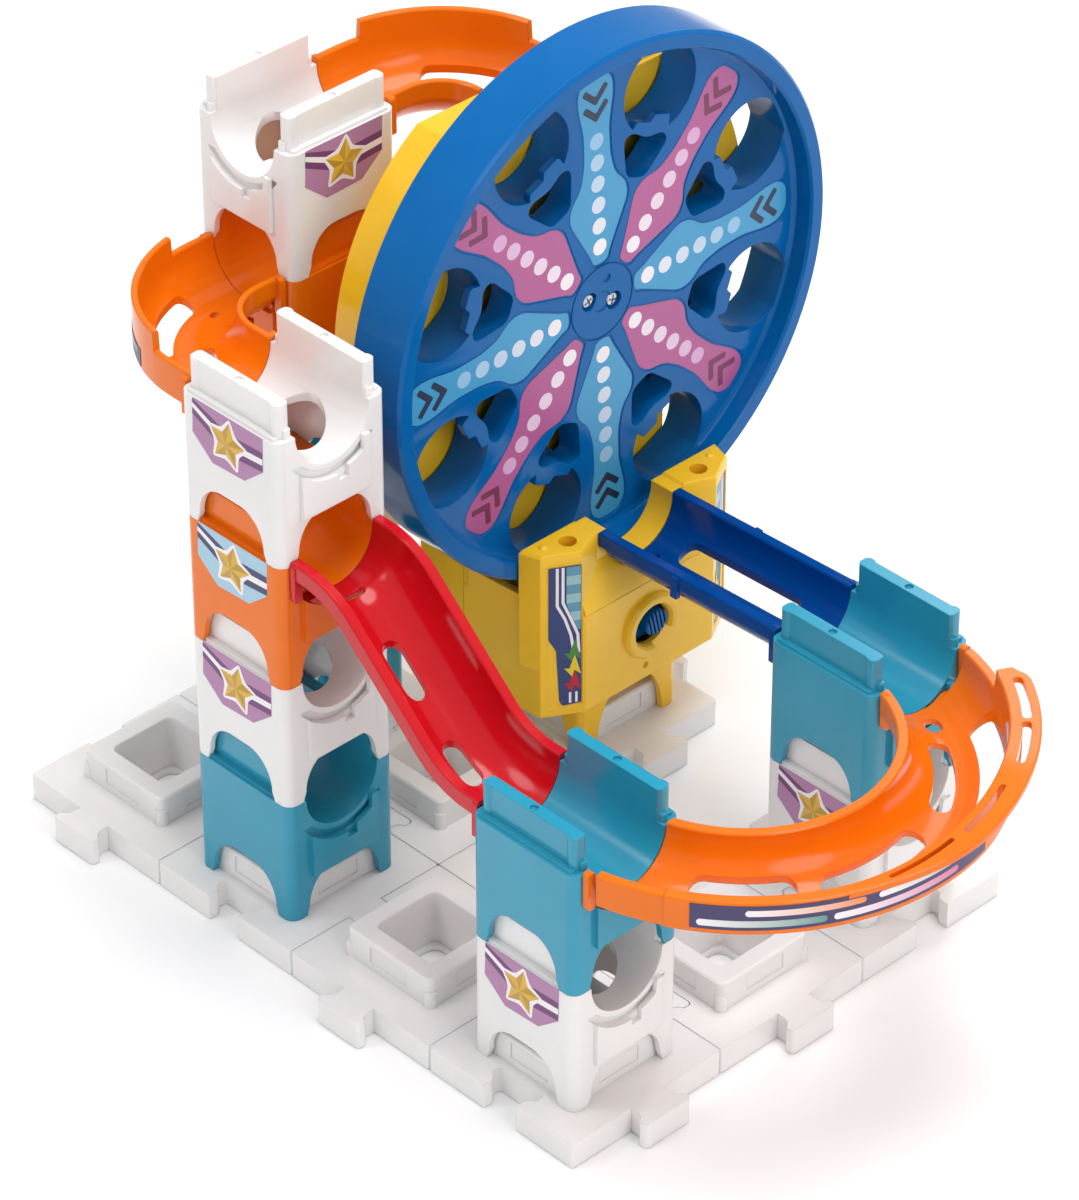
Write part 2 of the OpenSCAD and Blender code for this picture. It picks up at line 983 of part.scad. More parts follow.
// outside of one straight stretch of the slide, len along +X
module slide_outside(len, grow) {
    rotate([90, 0, 90])
        translate([0, 0, -grow])
            linear_extrude(len + 2 * grow) {
                intersection() {
                    circle(r = chan_out, $fn = arc_fn);
                    translate([-rim_out, -2 * chan_out])
                        square([2 * rim_out, 2 * chan_out]);
                }
                translate([-rim_out, -rim_down])
                    square([2 * rim_out, rim_down + rim_up]);
            }
}

// marble's way through the same stretch
module slide_inside(len, grow) {
    x_rod(chan_r, -grow, len + grow, arc_fn);
    translate([-grow, -chan_r, 0])
        cube([len + 2 * grow, 2 * chan_r, chan_r]);
}

module slide_track() {
    flat = 9;
    total = 2 * pitch - block_w - 2 * gap;
    half_a = slide_a / 2;
    bend = ((total - 2 * flat) * sin(slide_a) - level_h * cos(slide_a)) / (2 * sin(half_a));
    steep = (level_h - 2 * bend * sin(half_a)) / sin(slide_a);
    x1 = flat + bend * cos(half_a);
    z1 = -bend * sin(half_a);
    x2 = x1 + steep * cos(slide_a);
    z2 = z1 - steep * sin(slide_a);
    // start x, start z, angle, length and overlap of each stretch
    runs = [[0, 0, 0, flat, 0], [flat, 0, half_a, bend, 3.2], [x1, z1, slide_a, steep, 3.05],
        [x2, z2, half_a, bend, 3.3], [total - flat, -level_h, 0, flat, 0]];
    color(red)
        placed()
            translate([1.5 * pitch + half_b + gap, pitch / 2, shoulder(3)]) {
                difference() {
                    for (p = runs)
                        translate([p[0], 0, p[1]])
                            rotate([0, p[2], 0])
                                slide_outside(p[3], p[4]);
                    for (p = runs)
                        translate([p[0], 0, p[1]])
                            rotate([0, p[2], 0])
                                slide_inside(p[3], max(p[4], 1));
                    translate([x1, 0, z1])
                        rotate([0, slide_a, 0]) {
                            floor_slot(5, 20);
                            floor_slot(steep - 20, steep - 5);
                        }
                }
                tongue();
                translate([total, 0, -level_h])
                    mirror([1, 0, 0])
                        tongue();
            }
}

module chute_track() {
    len = 3.5 * pitch - half_b - gap - 123.2;
    tilt = atan(chute_fall / len);
    back = (chan_out + 3) * sin(tilt);
    color(navy)
        placed()
            translate([3.5 * pitch - half_b - gap, run_y, shoulder(2)])
                rotate([0, 0, 180])
                    rotate([0, tilt, 0])
                        translate([back, 0, 0])
                            difference() {
                                union() {
                                    track_straight(len - back);
                                    tongue();
                                }
                                floor_slot(16, 58);
                            }
}

// ---------- nodes ----------

tile_00();
tile_10();
tile_20();
tile_30();
tile_01();
tile_11();
tile_21();
tile_31();
tile_12();
tile_32();
tower_a_block_1();
tower_a_block_2();
tower_a_block_3();
tower_a_block_4();
tower_b_block_1();
tower_b_block_2();
tower_b_block_3();
tower_b_block_4();
tower_b_block_5();
tower_c_block_1();
tower_c_block_2();
tower_d_block_1();
tower_d_block_2();
curve_top();
curve_mid();
curve_low();
slide_track();
chute_track();
wheel();
hub_cap();
hub_screws();
spoke_labels_blue();
spoke_labels_pink();
axle();
wheel_gear();
idler_gear();
motor_pinion();
motor();
rear_shell();
gear_cover();
front_shell();
shell_screws();
battery_door();
batteries();
battery_contacts();
switch_knob();
switch_body();
base_labels();
block_labels();
curve_labels();

module tile_00() { tile_at(0, 0); }
module tile_10() { tile_at(1, 0, 90); }
module tile_20() { tile_at(2, 0); }
module tile_30() { tile_at(3, 0, 90); }
module tile_01() { tile_at(0, 1); }
module tile_11() { tile_at(1, 1, 90); }
module tile_21() { tile_at(2, 1); }
module tile_31() { tile_at(3, 1, 90); }
module tile_12() { tile_at(1, 2, 90); }
module tile_32() { tile_at(3, 2, 180); }
module tower_a_block_1() { block_at(1, 0, 1, 0, teal); }
module tower_a_block_2() { block_at(1, 0, 2, 0, white, true, true); }
module tower_a_block_3() { block_at(1, 0, 3, 0, orange, false); }
module tower_a_block_4() { block_at(1, 0, 4, 0, white, true, true); }
module tower_b_block_1() { block_at(0, 1, 1, 0, teal); }
module tower_b_block_2() { block_at(0, 1, 2, 0, white, true, true); }
module tower_b_block_3() { block_at(0, 1, 3, 0, teal); }
module tower_b_block_4() { block_at(0, 1, 4, -90, orange, false); }
module tower_b_block_5() { block_at(0, 1, 5, 90, white, true, true); }
module tower_c_block_1() { block_at(3, 0, 1, 0, white, true, true); }
module tower_c_block_2() { block_at(3, 0, 2, 0, teal); }
module tower_d_block_1() { block_at(3, 2, 1, 0, white, true, true); }
module tower_d_block_2() { block_at(3, 2, 2, 0, teal); }
module spoke_labels_blue() { spoke_labels(0, [0.35, 0.62, 0.82]); }
module spoke_labels_pink() { spoke_labels(45, [0.72, 0.35, 0.58]); }
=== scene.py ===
"""Marble run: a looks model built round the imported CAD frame.

Lengths are millimetres on the tile grid; add_object turns them into the frame's metres.
"""

import json
import math

import bmesh
import bpy
from mathutils import Matrix, Vector


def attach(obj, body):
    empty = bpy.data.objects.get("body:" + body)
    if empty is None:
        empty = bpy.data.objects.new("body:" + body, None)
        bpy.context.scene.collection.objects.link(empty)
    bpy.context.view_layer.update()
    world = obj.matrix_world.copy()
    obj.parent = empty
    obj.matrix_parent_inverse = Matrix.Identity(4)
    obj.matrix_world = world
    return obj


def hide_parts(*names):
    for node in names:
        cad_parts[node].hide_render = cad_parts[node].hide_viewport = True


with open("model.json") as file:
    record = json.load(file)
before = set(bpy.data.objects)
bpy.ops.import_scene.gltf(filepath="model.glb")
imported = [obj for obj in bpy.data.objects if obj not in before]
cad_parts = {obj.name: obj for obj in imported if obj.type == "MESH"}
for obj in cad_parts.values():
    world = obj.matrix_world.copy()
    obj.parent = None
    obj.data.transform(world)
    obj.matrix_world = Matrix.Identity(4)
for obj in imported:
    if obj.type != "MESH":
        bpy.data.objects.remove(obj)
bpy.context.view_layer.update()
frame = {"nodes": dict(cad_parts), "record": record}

PITCH = 70.0          # distance between tile centres
TILE_H = 10.5         # tile slab thickness
LEVEL_H = 50.0        # height of one tower block
HALF_BLOCK = 24.5     # half the width of a block
FACE_GAP = 0.3        # gap between a block's face and a track's end
CHAN_R = 16.4         # radius of every half-round channel
TROUGH_R = CHAN_R + 2.3
ORIGIN_X = 2.05 * PITCH
ORIGIN_Y = 1.5 * PITCH
AXLE_Z = 187.0        # height of the wheel's centre
RUN_Y = 2.5 * PITCH   # the plane of the wheel's axle and the chute
LABEL_SINK = 0.35     # depth of the field that a label sits in
GRID = Matrix.Scale(0.001, 4) @ Matrix.Translation((-ORIGIN_X, -ORIGIN_Y, 0))
ROOT = "frame"
WHEEL = "lifting_wheel"


def level(n):
    return TILE_H + n * LEVEL_H


def rot(axis, degrees):
    return Matrix.Rotation(math.radians(degrees), 4, axis)


def move(x, y, z):
    return Matrix.Translation((x, y, z))


# ---------- materials ----------

def srgb(r, g, b):
    def lin(c):
        c /= 255.0
        return c / 12.92 if c <= 0.04045 else ((c + 0.055) / 1.055) ** 2.4
    return (lin(r), lin(g), lin(b), 1.0)


def fill(node, **inputs):
    """Sets a node's own sockets, named with _ for each space."""
    for key, value in inputs.items():
        node.inputs[key.replace("_", " ")].default_value = value
    return node


def new_material(name):
    """New material, its shader, its object coordinates, and functions that add and link nodes."""
    mat = bpy.data.materials.new(name)
    mat.use_nodes = True
    nodes, links = mat.node_tree.nodes, mat.node_tree.links

    def add(kind, **inputs):
        return fill(nodes.new(kind), **inputs)

    def link(source, output, target, socket):
        links.new(source.outputs[output], target.inputs[socket])

    return mat, nodes["Principled BSDF"], add("ShaderNodeTexCoord"), add, link


EDGE_RADIUS, GLOW_DEPTH = 0.0005, 0.004  # metres


def plastic(name, colour, rough, subsurface=0.0, glow=(1.0, 0.4, 0.2), cloudy=0.05, shine=0.5):
    """Moulded plastic: cloudy pigment, fine texture, faint flow marks and softly rounded edges."""
    mat, bsdf, coords, add, link = new_material(name)
    fill(bsdf, IOR=1.5, Subsurface_Weight=subsurface, Subsurface_Radius=glow,
         Subsurface_Scale=GLOW_DEPTH, Specular_IOR_Level=shine)
    cloud = add("ShaderNodeTexNoise", Scale=38.0, Detail=3.0, Roughness=0.55)
    link(coords, "Object", cloud, "Vector")
    tone = add("ShaderNodeValToRGB")
    dark = tuple(c * (1 - cloudy) for c in colour[:3]) + (1.0,)
    pale = tuple(min(1.0, c * (1 + 0.6 * cloudy) + 0.04 * cloudy) for c in colour[:3]) + (1.0,)
    tone.color_ramp.elements[0].position = 0.30
    tone.color_ramp.elements[0].color = dark
    tone.color_ramp.elements[1].position = 0.72
    tone.color_ramp.elements[1].color = pale
    link(cloud, "Fac", tone, "Fac")
    link(tone, "Color", bsdf, "Base Color")
    flow = add("ShaderNodeTexNoise", Scale=120.0, Detail=2.0, Roughness=0.5)
    link(coords, "Object", flow, "Vector")
    spread_rough = add("ShaderNodeMapRange", To_Min=rough * 0.82, To_Max=rough * 1.25)
    link(flow, "Fac", spread_rough, "Value")
    link(spread_rough, "Result", bsdf, "Roughness")
    grain = add("ShaderNodeTexNoise", Scale=2600.0, Detail=2.0, Roughness=0.6)
    link(coords, "Object", grain, "Vector")
    bump = add("ShaderNodeBump", Strength=0.10, Distance=0.00006)
    link(grain, "Fac", bump, "Height")
    soft = add("ShaderNodeBevel", Radius=EDGE_RADIUS)
    soft.samples = 4
    link(soft, "Normal", bump, "Normal")
    link(bump, "Normal", bsdf, "Normal")
    return mat


def metal(name, colour, rough=0.25):
    """Plated metal with fine drawn streaks."""
    mat, bsdf, coords, add, link = new_material(name)
    fill(bsdf, Metallic=1.0)
    stretch = add("ShaderNodeMapping", Scale=(0.06, 1.0, 1.0))
    link(coords, "Object", stretch, "Vector")
    noise = add("ShaderNodeTexNoise", Scale=900.0, Detail=3.0)
    link(stretch, "Vector", noise, "Vector")
    tone = add("ShaderNodeValToRGB")
    tone.color_ramp.elements[0].color = tuple(c * 0.8 for c in colour[:3]) + (1.0,)
    tone.color_ramp.elements[1].color = colour
    link(noise, "Fac", tone, "Fac")
    link(tone, "Color", bsdf, "Base Color")
    spread_rough = add("ShaderNodeMapRange", To_Min=rough * 0.7, To_Max=rough * 1.4)
    link(noise, "Fac", spread_rough, "Value")
    link(spread_rough, "Result", bsdf, "Roughness")
    return mat


def film(name):
    """Printed film: colours painted on the faces, with a fine print grain and a satin face."""
    mat, bsdf, coords, add, link = new_material(name)
    fill(bsdf, Specular_IOR_Level=0.45)
    ink = add("ShaderNodeVertexColor")
    ink.layer_name = "ink"
    dots = add("ShaderNodeTexNoise", Scale=1800.0, Detail=2.0)
    link(coords, "Object", dots, "Vector")
    strength = add("ShaderNodeMapRange", To_Min=0.93, To_Max=1.05)
    link(dots, "Fac", strength, "Value")
    shade = add("ShaderNodeHueSaturation")
    link(ink, "Color", shade, "Color")
    link(strength, "Result", shade, "Value")
    link(shade, "Color", bsdf, "Base Color")
    satin = add("ShaderNodeMapRange", To_Min=0.28, To_Max=0.42)
    link(dots, "Fac", satin, "Value")
    link(satin, "Result", bsdf, "Roughness")
    return mat


WHITE = plastic("white_plastic", srgb(237, 235, 234), 0.17, 0.25, (1.0, 0.6, 0.45), cloudy=0.025)
TEAL = plastic("teal_plastic", srgb(42, 152, 182), 0.15, 0.10, (0.3, 0.8, 1.0))
ORANGE = plastic("orange_plastic", srgb(238, 116, 8), 0.14, 0.04, (1.0, 0.35, 0.08), shine=0.35)
RED = plastic("red_plastic", srgb(205, 14, 28), 0.14, 0.12, (1.0, 0.15, 0.1), shine=0.4)
BLUE = plastic("blue_plastic", srgb(0, 98, 168), 0.12, 0.0, shine=0.2)
NAVY = plastic("navy_plastic", srgb(0, 66, 140), 0.13, 0.0, shine=0.18)
YELLOW = plastic("yellow_plastic", srgb(248, 196, 40), 0.16, 0.12, (1.0, 0.6, 0.15), shine=0.4)
GEAR = plastic("gear_plastic", srgb(225, 222, 208), 0.42)
BLACK = plastic("black_plastic", srgb(28, 28, 30), 0.5)
WRAP = plastic("battery_wrap", srgb(40, 42, 48), 0.3)
STEEL = metal("screw_steel", (0.62, 0.63, 0.66, 1.0))
CAN = metal("motor_steel", (0.5, 0.5, 0.52, 1.0), 0.35)
BRASS = metal("pinion_brass", (0.72, 0.52, 0.22, 1.0), 0.3)
FILM = film("label_film")

SLOT_MATERIAL = {
    "white_plastic": WHITE, "teal_plastic": TEAL, "orange_plastic": ORANGE, "red_plastic": RED,
    "blue_plastic": BLUE, "navy_plastic": NAVY, "yellow_plastic": YELLOW, "gear_plastic": GEAR,
    "black_plastic": BLACK, "battery_wrap": WRAP, "screw_steel": STEEL, "motor_steel": CAN,
    "pinion_brass": BRASS,
}


def dress(mesh, slot_name):
    """Gives a mesh its slot's material; a label's mesh brings its own."""
    if slot_name in SLOT_MATERIAL:
        mesh.materials.clear()
        mesh.materials.append(SLOT_MATERIAL[slot_name])


for part in frame["record"]["subparts"]:
    dress(frame["nodes"][part["node"]].data, part["material_slot"])


# ---------- solid building (millimetres) ----------

def to_mesh(name, bm):
    mesh = bpy.data.meshes.new(name)
    bm.to_mesh(mesh)
    bm.free()
    return mesh


def new_object(name, data):
    obj = bpy.data.objects.new(name, data)
    bpy.context.scene.collection.objects.link(obj)
    return obj


def temp_object(mesh, matrix=None):
    obj = new_object("temp", mesh)
    if matrix is not None:
        obj.matrix_world = matrix
    return obj


def loft(rings, closed=False):
    """Closed solid through rings of equal length; closed joins the last ring to the first."""
    bm = bmesh.new()
    rows = [[bm.verts.new(p) for p in ring] for ring in rings]
    n = len(rows[0])
    spans = len(rows) if closed else len(rows) - 1
    for k in range(spans):
        a, b = rows[k], rows[(k + 1) % len(rows)]
        for i in range(n):
            bm.faces.new((a[i], a[(i + 1) % n], b[(i + 1) % n], b[i]))
    if not closed:
        bm.faces.new(rows[0][::-1])
        bm.faces.new(rows[-1])
    bmesh.ops.recalc_face_normals(bm, faces=bm.faces)
    return to_mesh("loft", bm)


def extrude(outline, z0, z1):
    return loft([[(x, y, z0) for x, y in outline], [(x, y, z1) for x, y in outline]])


def disc(cx, cy, r, n):
    angles = [2 * math.pi * i / n for i in range(n)]
    return [(cx + r * math.cos(a), cy + r * math.sin(a)) for a in angles]


def rounded_rect(w, d, r, cx=0.0, cy=0.0, steps=5):
    pts = []
    for sx, sy, a in ((1, 1, 0), (-1, 1, 90), (-1, -1, 180), (1, -1, 270)):
        for k in range(steps + 1):
            t = math.radians(a + 90.0 * k / steps)
            pts.append((cx + sx * (w / 2 - r) + r * math.cos(t),
                        cy + sy * (d / 2 - r) + r * math.sin(t)))
    return pts


def carve(target, cutters, joins=()):
    """New mesh: target plus joins, less cutters, each of them a mesh or a (mesh, matrix) pair."""
    obj = temp_object(target)
    helpers = []
    for kind, tools in (("UNION", joins), ("DIFFERENCE", cutters)):
        for entry in tools:
            tool = temp_object(*entry) if isinstance(entry, tuple) else temp_object(entry)
            helpers.append(tool)
            mod = obj.modifiers.new("cut", "BOOLEAN")
            mod.operation = kind
            mod.solver = "EXACT"
            mod.object = tool
    bpy.context.view_layer.update()
    deps = bpy.context.evaluated_depsgraph_get()
    result = bpy.data.meshes.new_from_object(obj.evaluated_get(deps))
    for o in helpers + [obj]:
        bpy.data.objects.remove(o)
    return result


def tidy(mesh, name, angle=32.0):
    """Welds a carved solid and smooths its faces, except over edges sharper than angle."""
    bm = bmesh.new()
    bm.from_mesh(mesh)
    bmesh.ops.remove_doubles(bm, verts=bm.verts, dist=0.002)
    bmesh.ops.dissolve_degenerate(bm, edges=bm.edges, dist=0.001)
    bmesh.ops.triangulate(bm, faces=[f for f in bm.faces if len(f.verts) > 4])
    bm.to_mesh(mesh)
    bm.free()
    mesh.name = name
    for poly in mesh.polygons:
        poly.use_smooth = True
    mesh.set_sharp_from_angle(angle=math.radians(angle))
    return mesh


def x_cylinder(r, x0, x1, n=72, cy=0.0, cz=0.0):
    return loft([[(x, cy + a, cz + b) for a, b in disc(0, 0, r, n)] for x in (x0, x1)])


def lathe_x(profile, n):
    """Solid turned about X; profile: (x, radius) from end to end."""
    return loft([[(x, a, b) for a, b in disc(0, 0, r, n)] for x, r in profile])


def along_x(outline, x0, x1):
    """Extrudes an outline drawn in the (Y, Z) plane along X."""
    return loft([[(x, a, b) for a, b in outline] for x in (x0, x1)])


def along_y(outline, y0, y1):
    """Extrudes an outline drawn in the (X, Z) plane along Y."""
    return loft([[(x, y, z) for x, z in outline] for y in (y0, y1)])


def box_mesh(x0, x1, y0, y1, z0, z1):
    return extrude([(x0, y0), (x1, y0), (x1, y1), (x0, y1)], z0, z1)


# ---------- placing ----------

def add_object(name, mesh, matrix, body, slot_name, stands_for=()):
    """Puts a copy of a mesh in the frame, riding on body, in place of the CAD nodes stands_for."""
    placed = mesh.copy()
    placed.transform(GRID @ matrix)
    dress(placed, slot_name)
    obj = new_object(name, placed)
    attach(obj, body)
    if stands_for:
        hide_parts(*stands_for)


# ---------- labels ----------

class Print:
    """Collects printed shapes, each a thin closed slab above z = 0, into one label mesh."""

    def __init__(self):
        self.verts, self.faces, self.inks = [], [], []

    def slab(self, outline, ink, lift, low=0.0, peak=None):
        """outline: points in order; peak: optional (x, y, z) apex for a raised star or pyramid,
        whose alternate facets get a darkened ink as painted shade.
        """
        if sum(a[0] * b[1] - b[0] * a[1] for a, b in zip(outline, outline[1:] + outline[:1])) < 0:
            outline = outline[::-1]
        base, n = len(self.verts), len(outline)
        self.verts += [(x, y, low) for x, y in outline] + [(x, y, lift) for x, y in outline]
        rows = [tuple(base + i for i in reversed(range(n)))]
        rows += [(base + i, base + (i + 1) % n, base + n + (i + 1) % n, base + n + i)
                 for i in range(n)]
        inks = [ink] * (n + 1)
        if peak:
            self.verts.append(peak)
            apex = base + 2 * n
            for i in range(n):
                rows.append((base + n + i, base + n + (i + 1) % n, apex))
                # painted shade: every other facet of the raised peak has its ink darkened to 0.72,
                # as if turned away from the light
                inks.append(ink if i % 2 else tuple(c * 0.72 for c in ink[:3]) + (1.0,))
        else:
            rows.append(tuple(base + n + i for i in range(n)))
            inks.append(ink)
        self.faces += rows
        self.inks += inks

    def mesh(self, name):
        m = bpy.data.meshes.new(name)
        m.from_pydata(self.verts, [], self.faces)
        ink = m.color_attributes.new("ink", "FLOAT_COLOR", "CORNER")
        for poly, colour in zip(m.polygons, self.inks):
            for corner in poly.loop_indices:
                ink.data[corner].color = colour
        m.materials.append(FILM)
        m.update()
        return m


STAR_POINTS = 5


def star(cx, cy, outer, inner, turn):
    pts = []
    for i in range(2 * STAR_POINTS):
        r = inner if i % 2 else outer
        a = math.radians(turn + 180.0 * i / STAR_POINTS)
        pts.append((cx + r * math.cos(a), cy + r * math.sin(a)))
    return pts


def smooth_corners(points, radius):
    """Rounds every corner of an outline with a quadratic blend of at most radius."""
    out, steps = [], 4
    n = len(points)
    for i in range(n):
        p, a, b = Vector(points[i]), Vector(points[i - 1]), Vector(points[(i + 1) % n])
        ra = min(radius, 0.45 * (a - p).length)
        rb = min(radius, 0.45 * (b - p).length)
        s = p + (a - p).normalized() * ra
        e = p + (b - p).normalized() * rb
        for k in range(steps + 1):
            t = k / steps
            q = s * (1 - t) ** 2 + p * 2 * t * (1 - t) + e * t * t
            out.append((q.x, q.y))
    return out


MAUVE, PLUM = srgb(178, 128, 170), srgb(112, 58, 116)
SKY, INDIGO = srgb(168, 206, 226), srgb(52, 60, 104)
PAPER, GOLD = srgb(246, 240, 244), srgb(222, 176, 62)


def smooth_step(t):
    t = max(0.0, min(1.0, t))
    return t * t * (3 - 2 * t)


def ribbon(line, width):
    """Outline of a bent stripe of constant width along a line of points."""
    sides = ([], [])
    for k, (x, y) in enumerate(line):
        x0, y0 = line[max(k - 1, 0)]
        x1, y1 = line[min(k + 1, len(line) - 1)]
        d = math.hypot(x1 - x0, y1 - y0)
        seg = math.hypot(x1 - x, y1 - y) or d
        cosine = 1.0
        if 0 < k < len(line) - 1:
            cosine = ((x1 - x) * (x1 - x0) + (y1 - y) * (y1 - y0)) / (seg * d)
        nx, ny = (y0 - y1) / d * width / 2 / cosine, (x1 - x0) / d * width / 2 / cosine
        sides[0].append((x + nx, y + ny))
        sides[1].append((x - nx, y - ny))
    return sides[0] + sides[1][::-1]


def badge(field, stripe):
    """Shield label with a chevron stripe and a gold star."""
    p = Print()
    star_x, star_y, star_turn = -0.4, -3.4, 82.0
    outline = [(-17.2, 7.4), (17.6, 7.4), (17.2, -6.1), (7.8, -13.9), (-8.3, -14.6), (-18.0, -6.5)]
    p.slab(outline, field, 0.10)
    for low, high, ink, lift in ((-3.9, 4.6, stripe, 0.13), (-1.0, 1.7, PAPER, 0.16)):
        p.slab([(-17.5, 4.4 + high * 0.55), (0.0, -3.6 + high), (17.3, -2.4 + high * 0.9),
                (17.2, -2.4 + low * 0.9), (0.0, -3.6 + low), (-17.7, 4.4 + low * 0.9)], ink, lift,
                0.05)
    p.slab(smooth_corners(star(star_x, star_y, 10.8, 6.3, star_turn), 1.6), PAPER, 0.19, 0.06)
    # gold star raised to a peak; slab paints shade onto its alternate facets
    p.slab(star(star_x, star_y, 9.0, 4.6, star_turn), GOLD, 0.21, 0.07, (star_x, star_y, 0.85))
    return p


# ---------- tower blocks ----------

def arch_outline():
    """Bell arch: (across, up), wider at the feet."""
    pts = [(-17.4, -1.0), (-17.2, 1.0)]
    for k in range(17):
        t = math.radians(180.0 - 90.0 * k / 16)
        pts.append((-4.6 + 11.6 * math.cos(t), 3.6 + 13.4 * math.sin(t)))
    return pts + [(-x, y) for x, y in reversed(pts)]


RECESS_R = 21.7  # ring round a channel mouth that takes a track's tongue


def lip_outline():
    """Bracket below a channel mouth: a low half and a higher half, curved to clear the tongue."""
    half = 15.2

    def arc(y):
        return LEVEL_H - math.sqrt(RECESS_R * RECESS_R - y * y)

    pts = [(-half, 17.0), (half, 17.0), (half, 38.5), (12.4, 38.5)]
    pts += [(y, arc(y) + 1.2) for y in (12.0, 10.0, 8.0, 6.0)]
    pts += [(5.2, arc(5.2) + 1.2), (5.2, arc(5.2) - 3.0), (1.0, arc(1.0) - 2.6), (1.0, arc(1.0))]
    pts += [(y, arc(y)) for y in (-1.0, -4.0, -7.0, -10.0, -13.0)]
    return pts + [(-half, arc(half))]


def block_solid(open_both, drop):
    """Tower block: its channel runs through or ends in a bowl; drop cuts a hole in its floor."""
    half, wall, top = HALF_BLOCK, 2.4, LEVEL_H
    body = extrude(rounded_rect(2 * half, 2 * half, 4.2, steps=6), 0, top)
    cavity = extrude(rounded_rect(44.2, 44.2, 1.8, steps=3), -1, top - wall)
    arch = along_x(arch_outline(), -30, 30)
    body = carve(body, [cavity, arch, (arch, rot("Z", 90))])
    trough = x_cylinder(TROUGH_R, -half + 0.6, half - 0.6, 72, 0, top)
    trough = carve(trough, [box_mesh(-30, 30, -30, 30, top - 0.01, top + 30)])
    ridges = []
    ridge_top = top + 13
    for s in (-1, 1):
        y0, y1 = sorted((s * (CHAN_R - 0.6), s * 21.2))
        ridges.append(box_mesh(-21, 21, y0, y1, top - 1, ridge_top))
        for e in (-1, 1):
            post = rounded_rect(4.6, 5.6, 1.9, e * 19.7, s * 19.1)
            ridges.append(extrude(post, top - 1, ridge_top))
            ridges.append(extrude(rounded_rect(3.4, 3.0, 1.2, e * 21.6, s * 18.3), top - 1,
                                  top + 3.2))
        ridges.append(extrude(rounded_rect(43.6, 2.6, 1.0, 0, s * 22.2), top - 1, top + 1.1))
    ends = (-1, 1) if open_both else (1,)
    lips, recess = [], []
    for e in ends:
        turn = Matrix.Identity(4) if e > 0 else rot("Z", 180)
        lips.append((along_x(lip_outline(), half - 0.8, half + 1.8), turn))
        ring = carve(x_cylinder(RECESS_R, half - 1.3, half + 0.02, 72, 0, top),
                     [x_cylinder(TROUGH_R, half - 4, half + 1, 72, 0, top),
                      box_mesh(half - 5, half + 2, -30, 30, top - 12.4, top + 30)])
        recess.append((ring, turn))
    solid = carve(body, recess, [trough] + ridges + lips)
    cuts = []
    if open_both:
        cuts.append(x_cylinder(CHAN_R, -40, 40, 96, 0, top))
        cuts.append(box_mesh(-40, 40, -CHAN_R, CHAN_R, top, top + 30))
    else:
        bowl = bmesh.new()
        bmesh.ops.create_uvsphere(bowl, u_segments=48, v_segments=24, radius=CHAN_R)
        cuts.append((to_mesh("bowl", bowl), move(0, 0, top)))
        cuts.append(x_cylinder(CHAN_R, 0, 40, 96, 0, top))
        cuts.append(box_mesh(0, 40, -CHAN_R, CHAN_R, top, top + 30))
        cuts.append(extrude(disc(0, 0, CHAN_R, 48), top, top + 30))
    if drop:
        cuts.append(extrude(disc(0, 0, 14.0, 64), top - 30, top + 30))
    for s in (-1, 1):
        cuts.append(extrude(disc(0, s * 18.9, 1.5, 20), top + 12.0, top + 20))
    solid = carve(solid, cuts)
    return tidy(solid, "block")


# ---------- lifting wheel ----------

WHEEL_R = 103.5
WHEEL_X0, WHEEL_X1 = 97.0, 121.8   # back and front of the rim
WEB_X, WEB_T = 113.6, 3.0          # front face and thickness of the web
SPOKES = 8
SPOKE_STEP = 45.0
SPOKE_TURN = 2.5                   # how far the wheel stands turned in the photo
HUB_HOLES = [(-5.9, 2.1), (5.9, -2.1)]
HUB_SEAT_X = WEB_X - 2.2           # floor of the hub's screw holes


def spoke_outline(grow=0.0):
    """Label and raised-edge outline of one spoke, pointing along +X."""
    half = [(15.6, 3.4), (19.5, 4.6), (38.0, 14.2), (44.0, 13.4), (49.5, 8.4), (58.0, 6.4),
            (70.0, 6.2), (82.0, 8.6), (88.0, 8.4), (92.3, 5.0)]
    pts = [(x, y + grow) for x, y in half] + [(x, -y - grow) for x, y in reversed(half)]
    pts = [(x + (grow if x > 90 else -grow if x < 16 else 0), y) for x, y in pts]
    return smooth_corners(pts, 3.2)


def cup_outline(grow=0.0, foot=False):
    """Round pocket cut off by the rim; its mouth in the web has a stepped foot towards the hub."""
    r, c, limit, n = 17.4 + grow, 79.6, 95.2 + grow, 144
    pts = []
    for k in range(n):
        a = 2 * math.pi * k / n
        x, y = c + r * math.cos(a), r * math.sin(a)
        d = math.hypot(x, y)
        if d > limit:
            x, y = x * limit / d, y * limit / d
        shelf = 60.0 + (6.8 + 2.8 * smooth_step(-y / 1.8)) * smooth_step((9.6 - abs(y + 1.0)) / 1.6)
        pts.append((max(x, shelf) if foot else x, y))
    return pts


def window_outline(grow=0.0):
    """Small window between two spokes, pointing along +X."""
    pts = [(46.4 - grow, 4.8 + grow), (60.2 + grow, 11.4 + grow), (63.2 + grow, 8.0),
           (61.0 + grow, 0.0),
           (63.2 + grow, -8.0), (60.2 + grow, -11.4 - grow), (46.4 - grow, -4.8 - grow)]
    return smooth_corners(pts, 3.0)


def turned(mesh, degrees):
    return (mesh, rot("X", degrees))


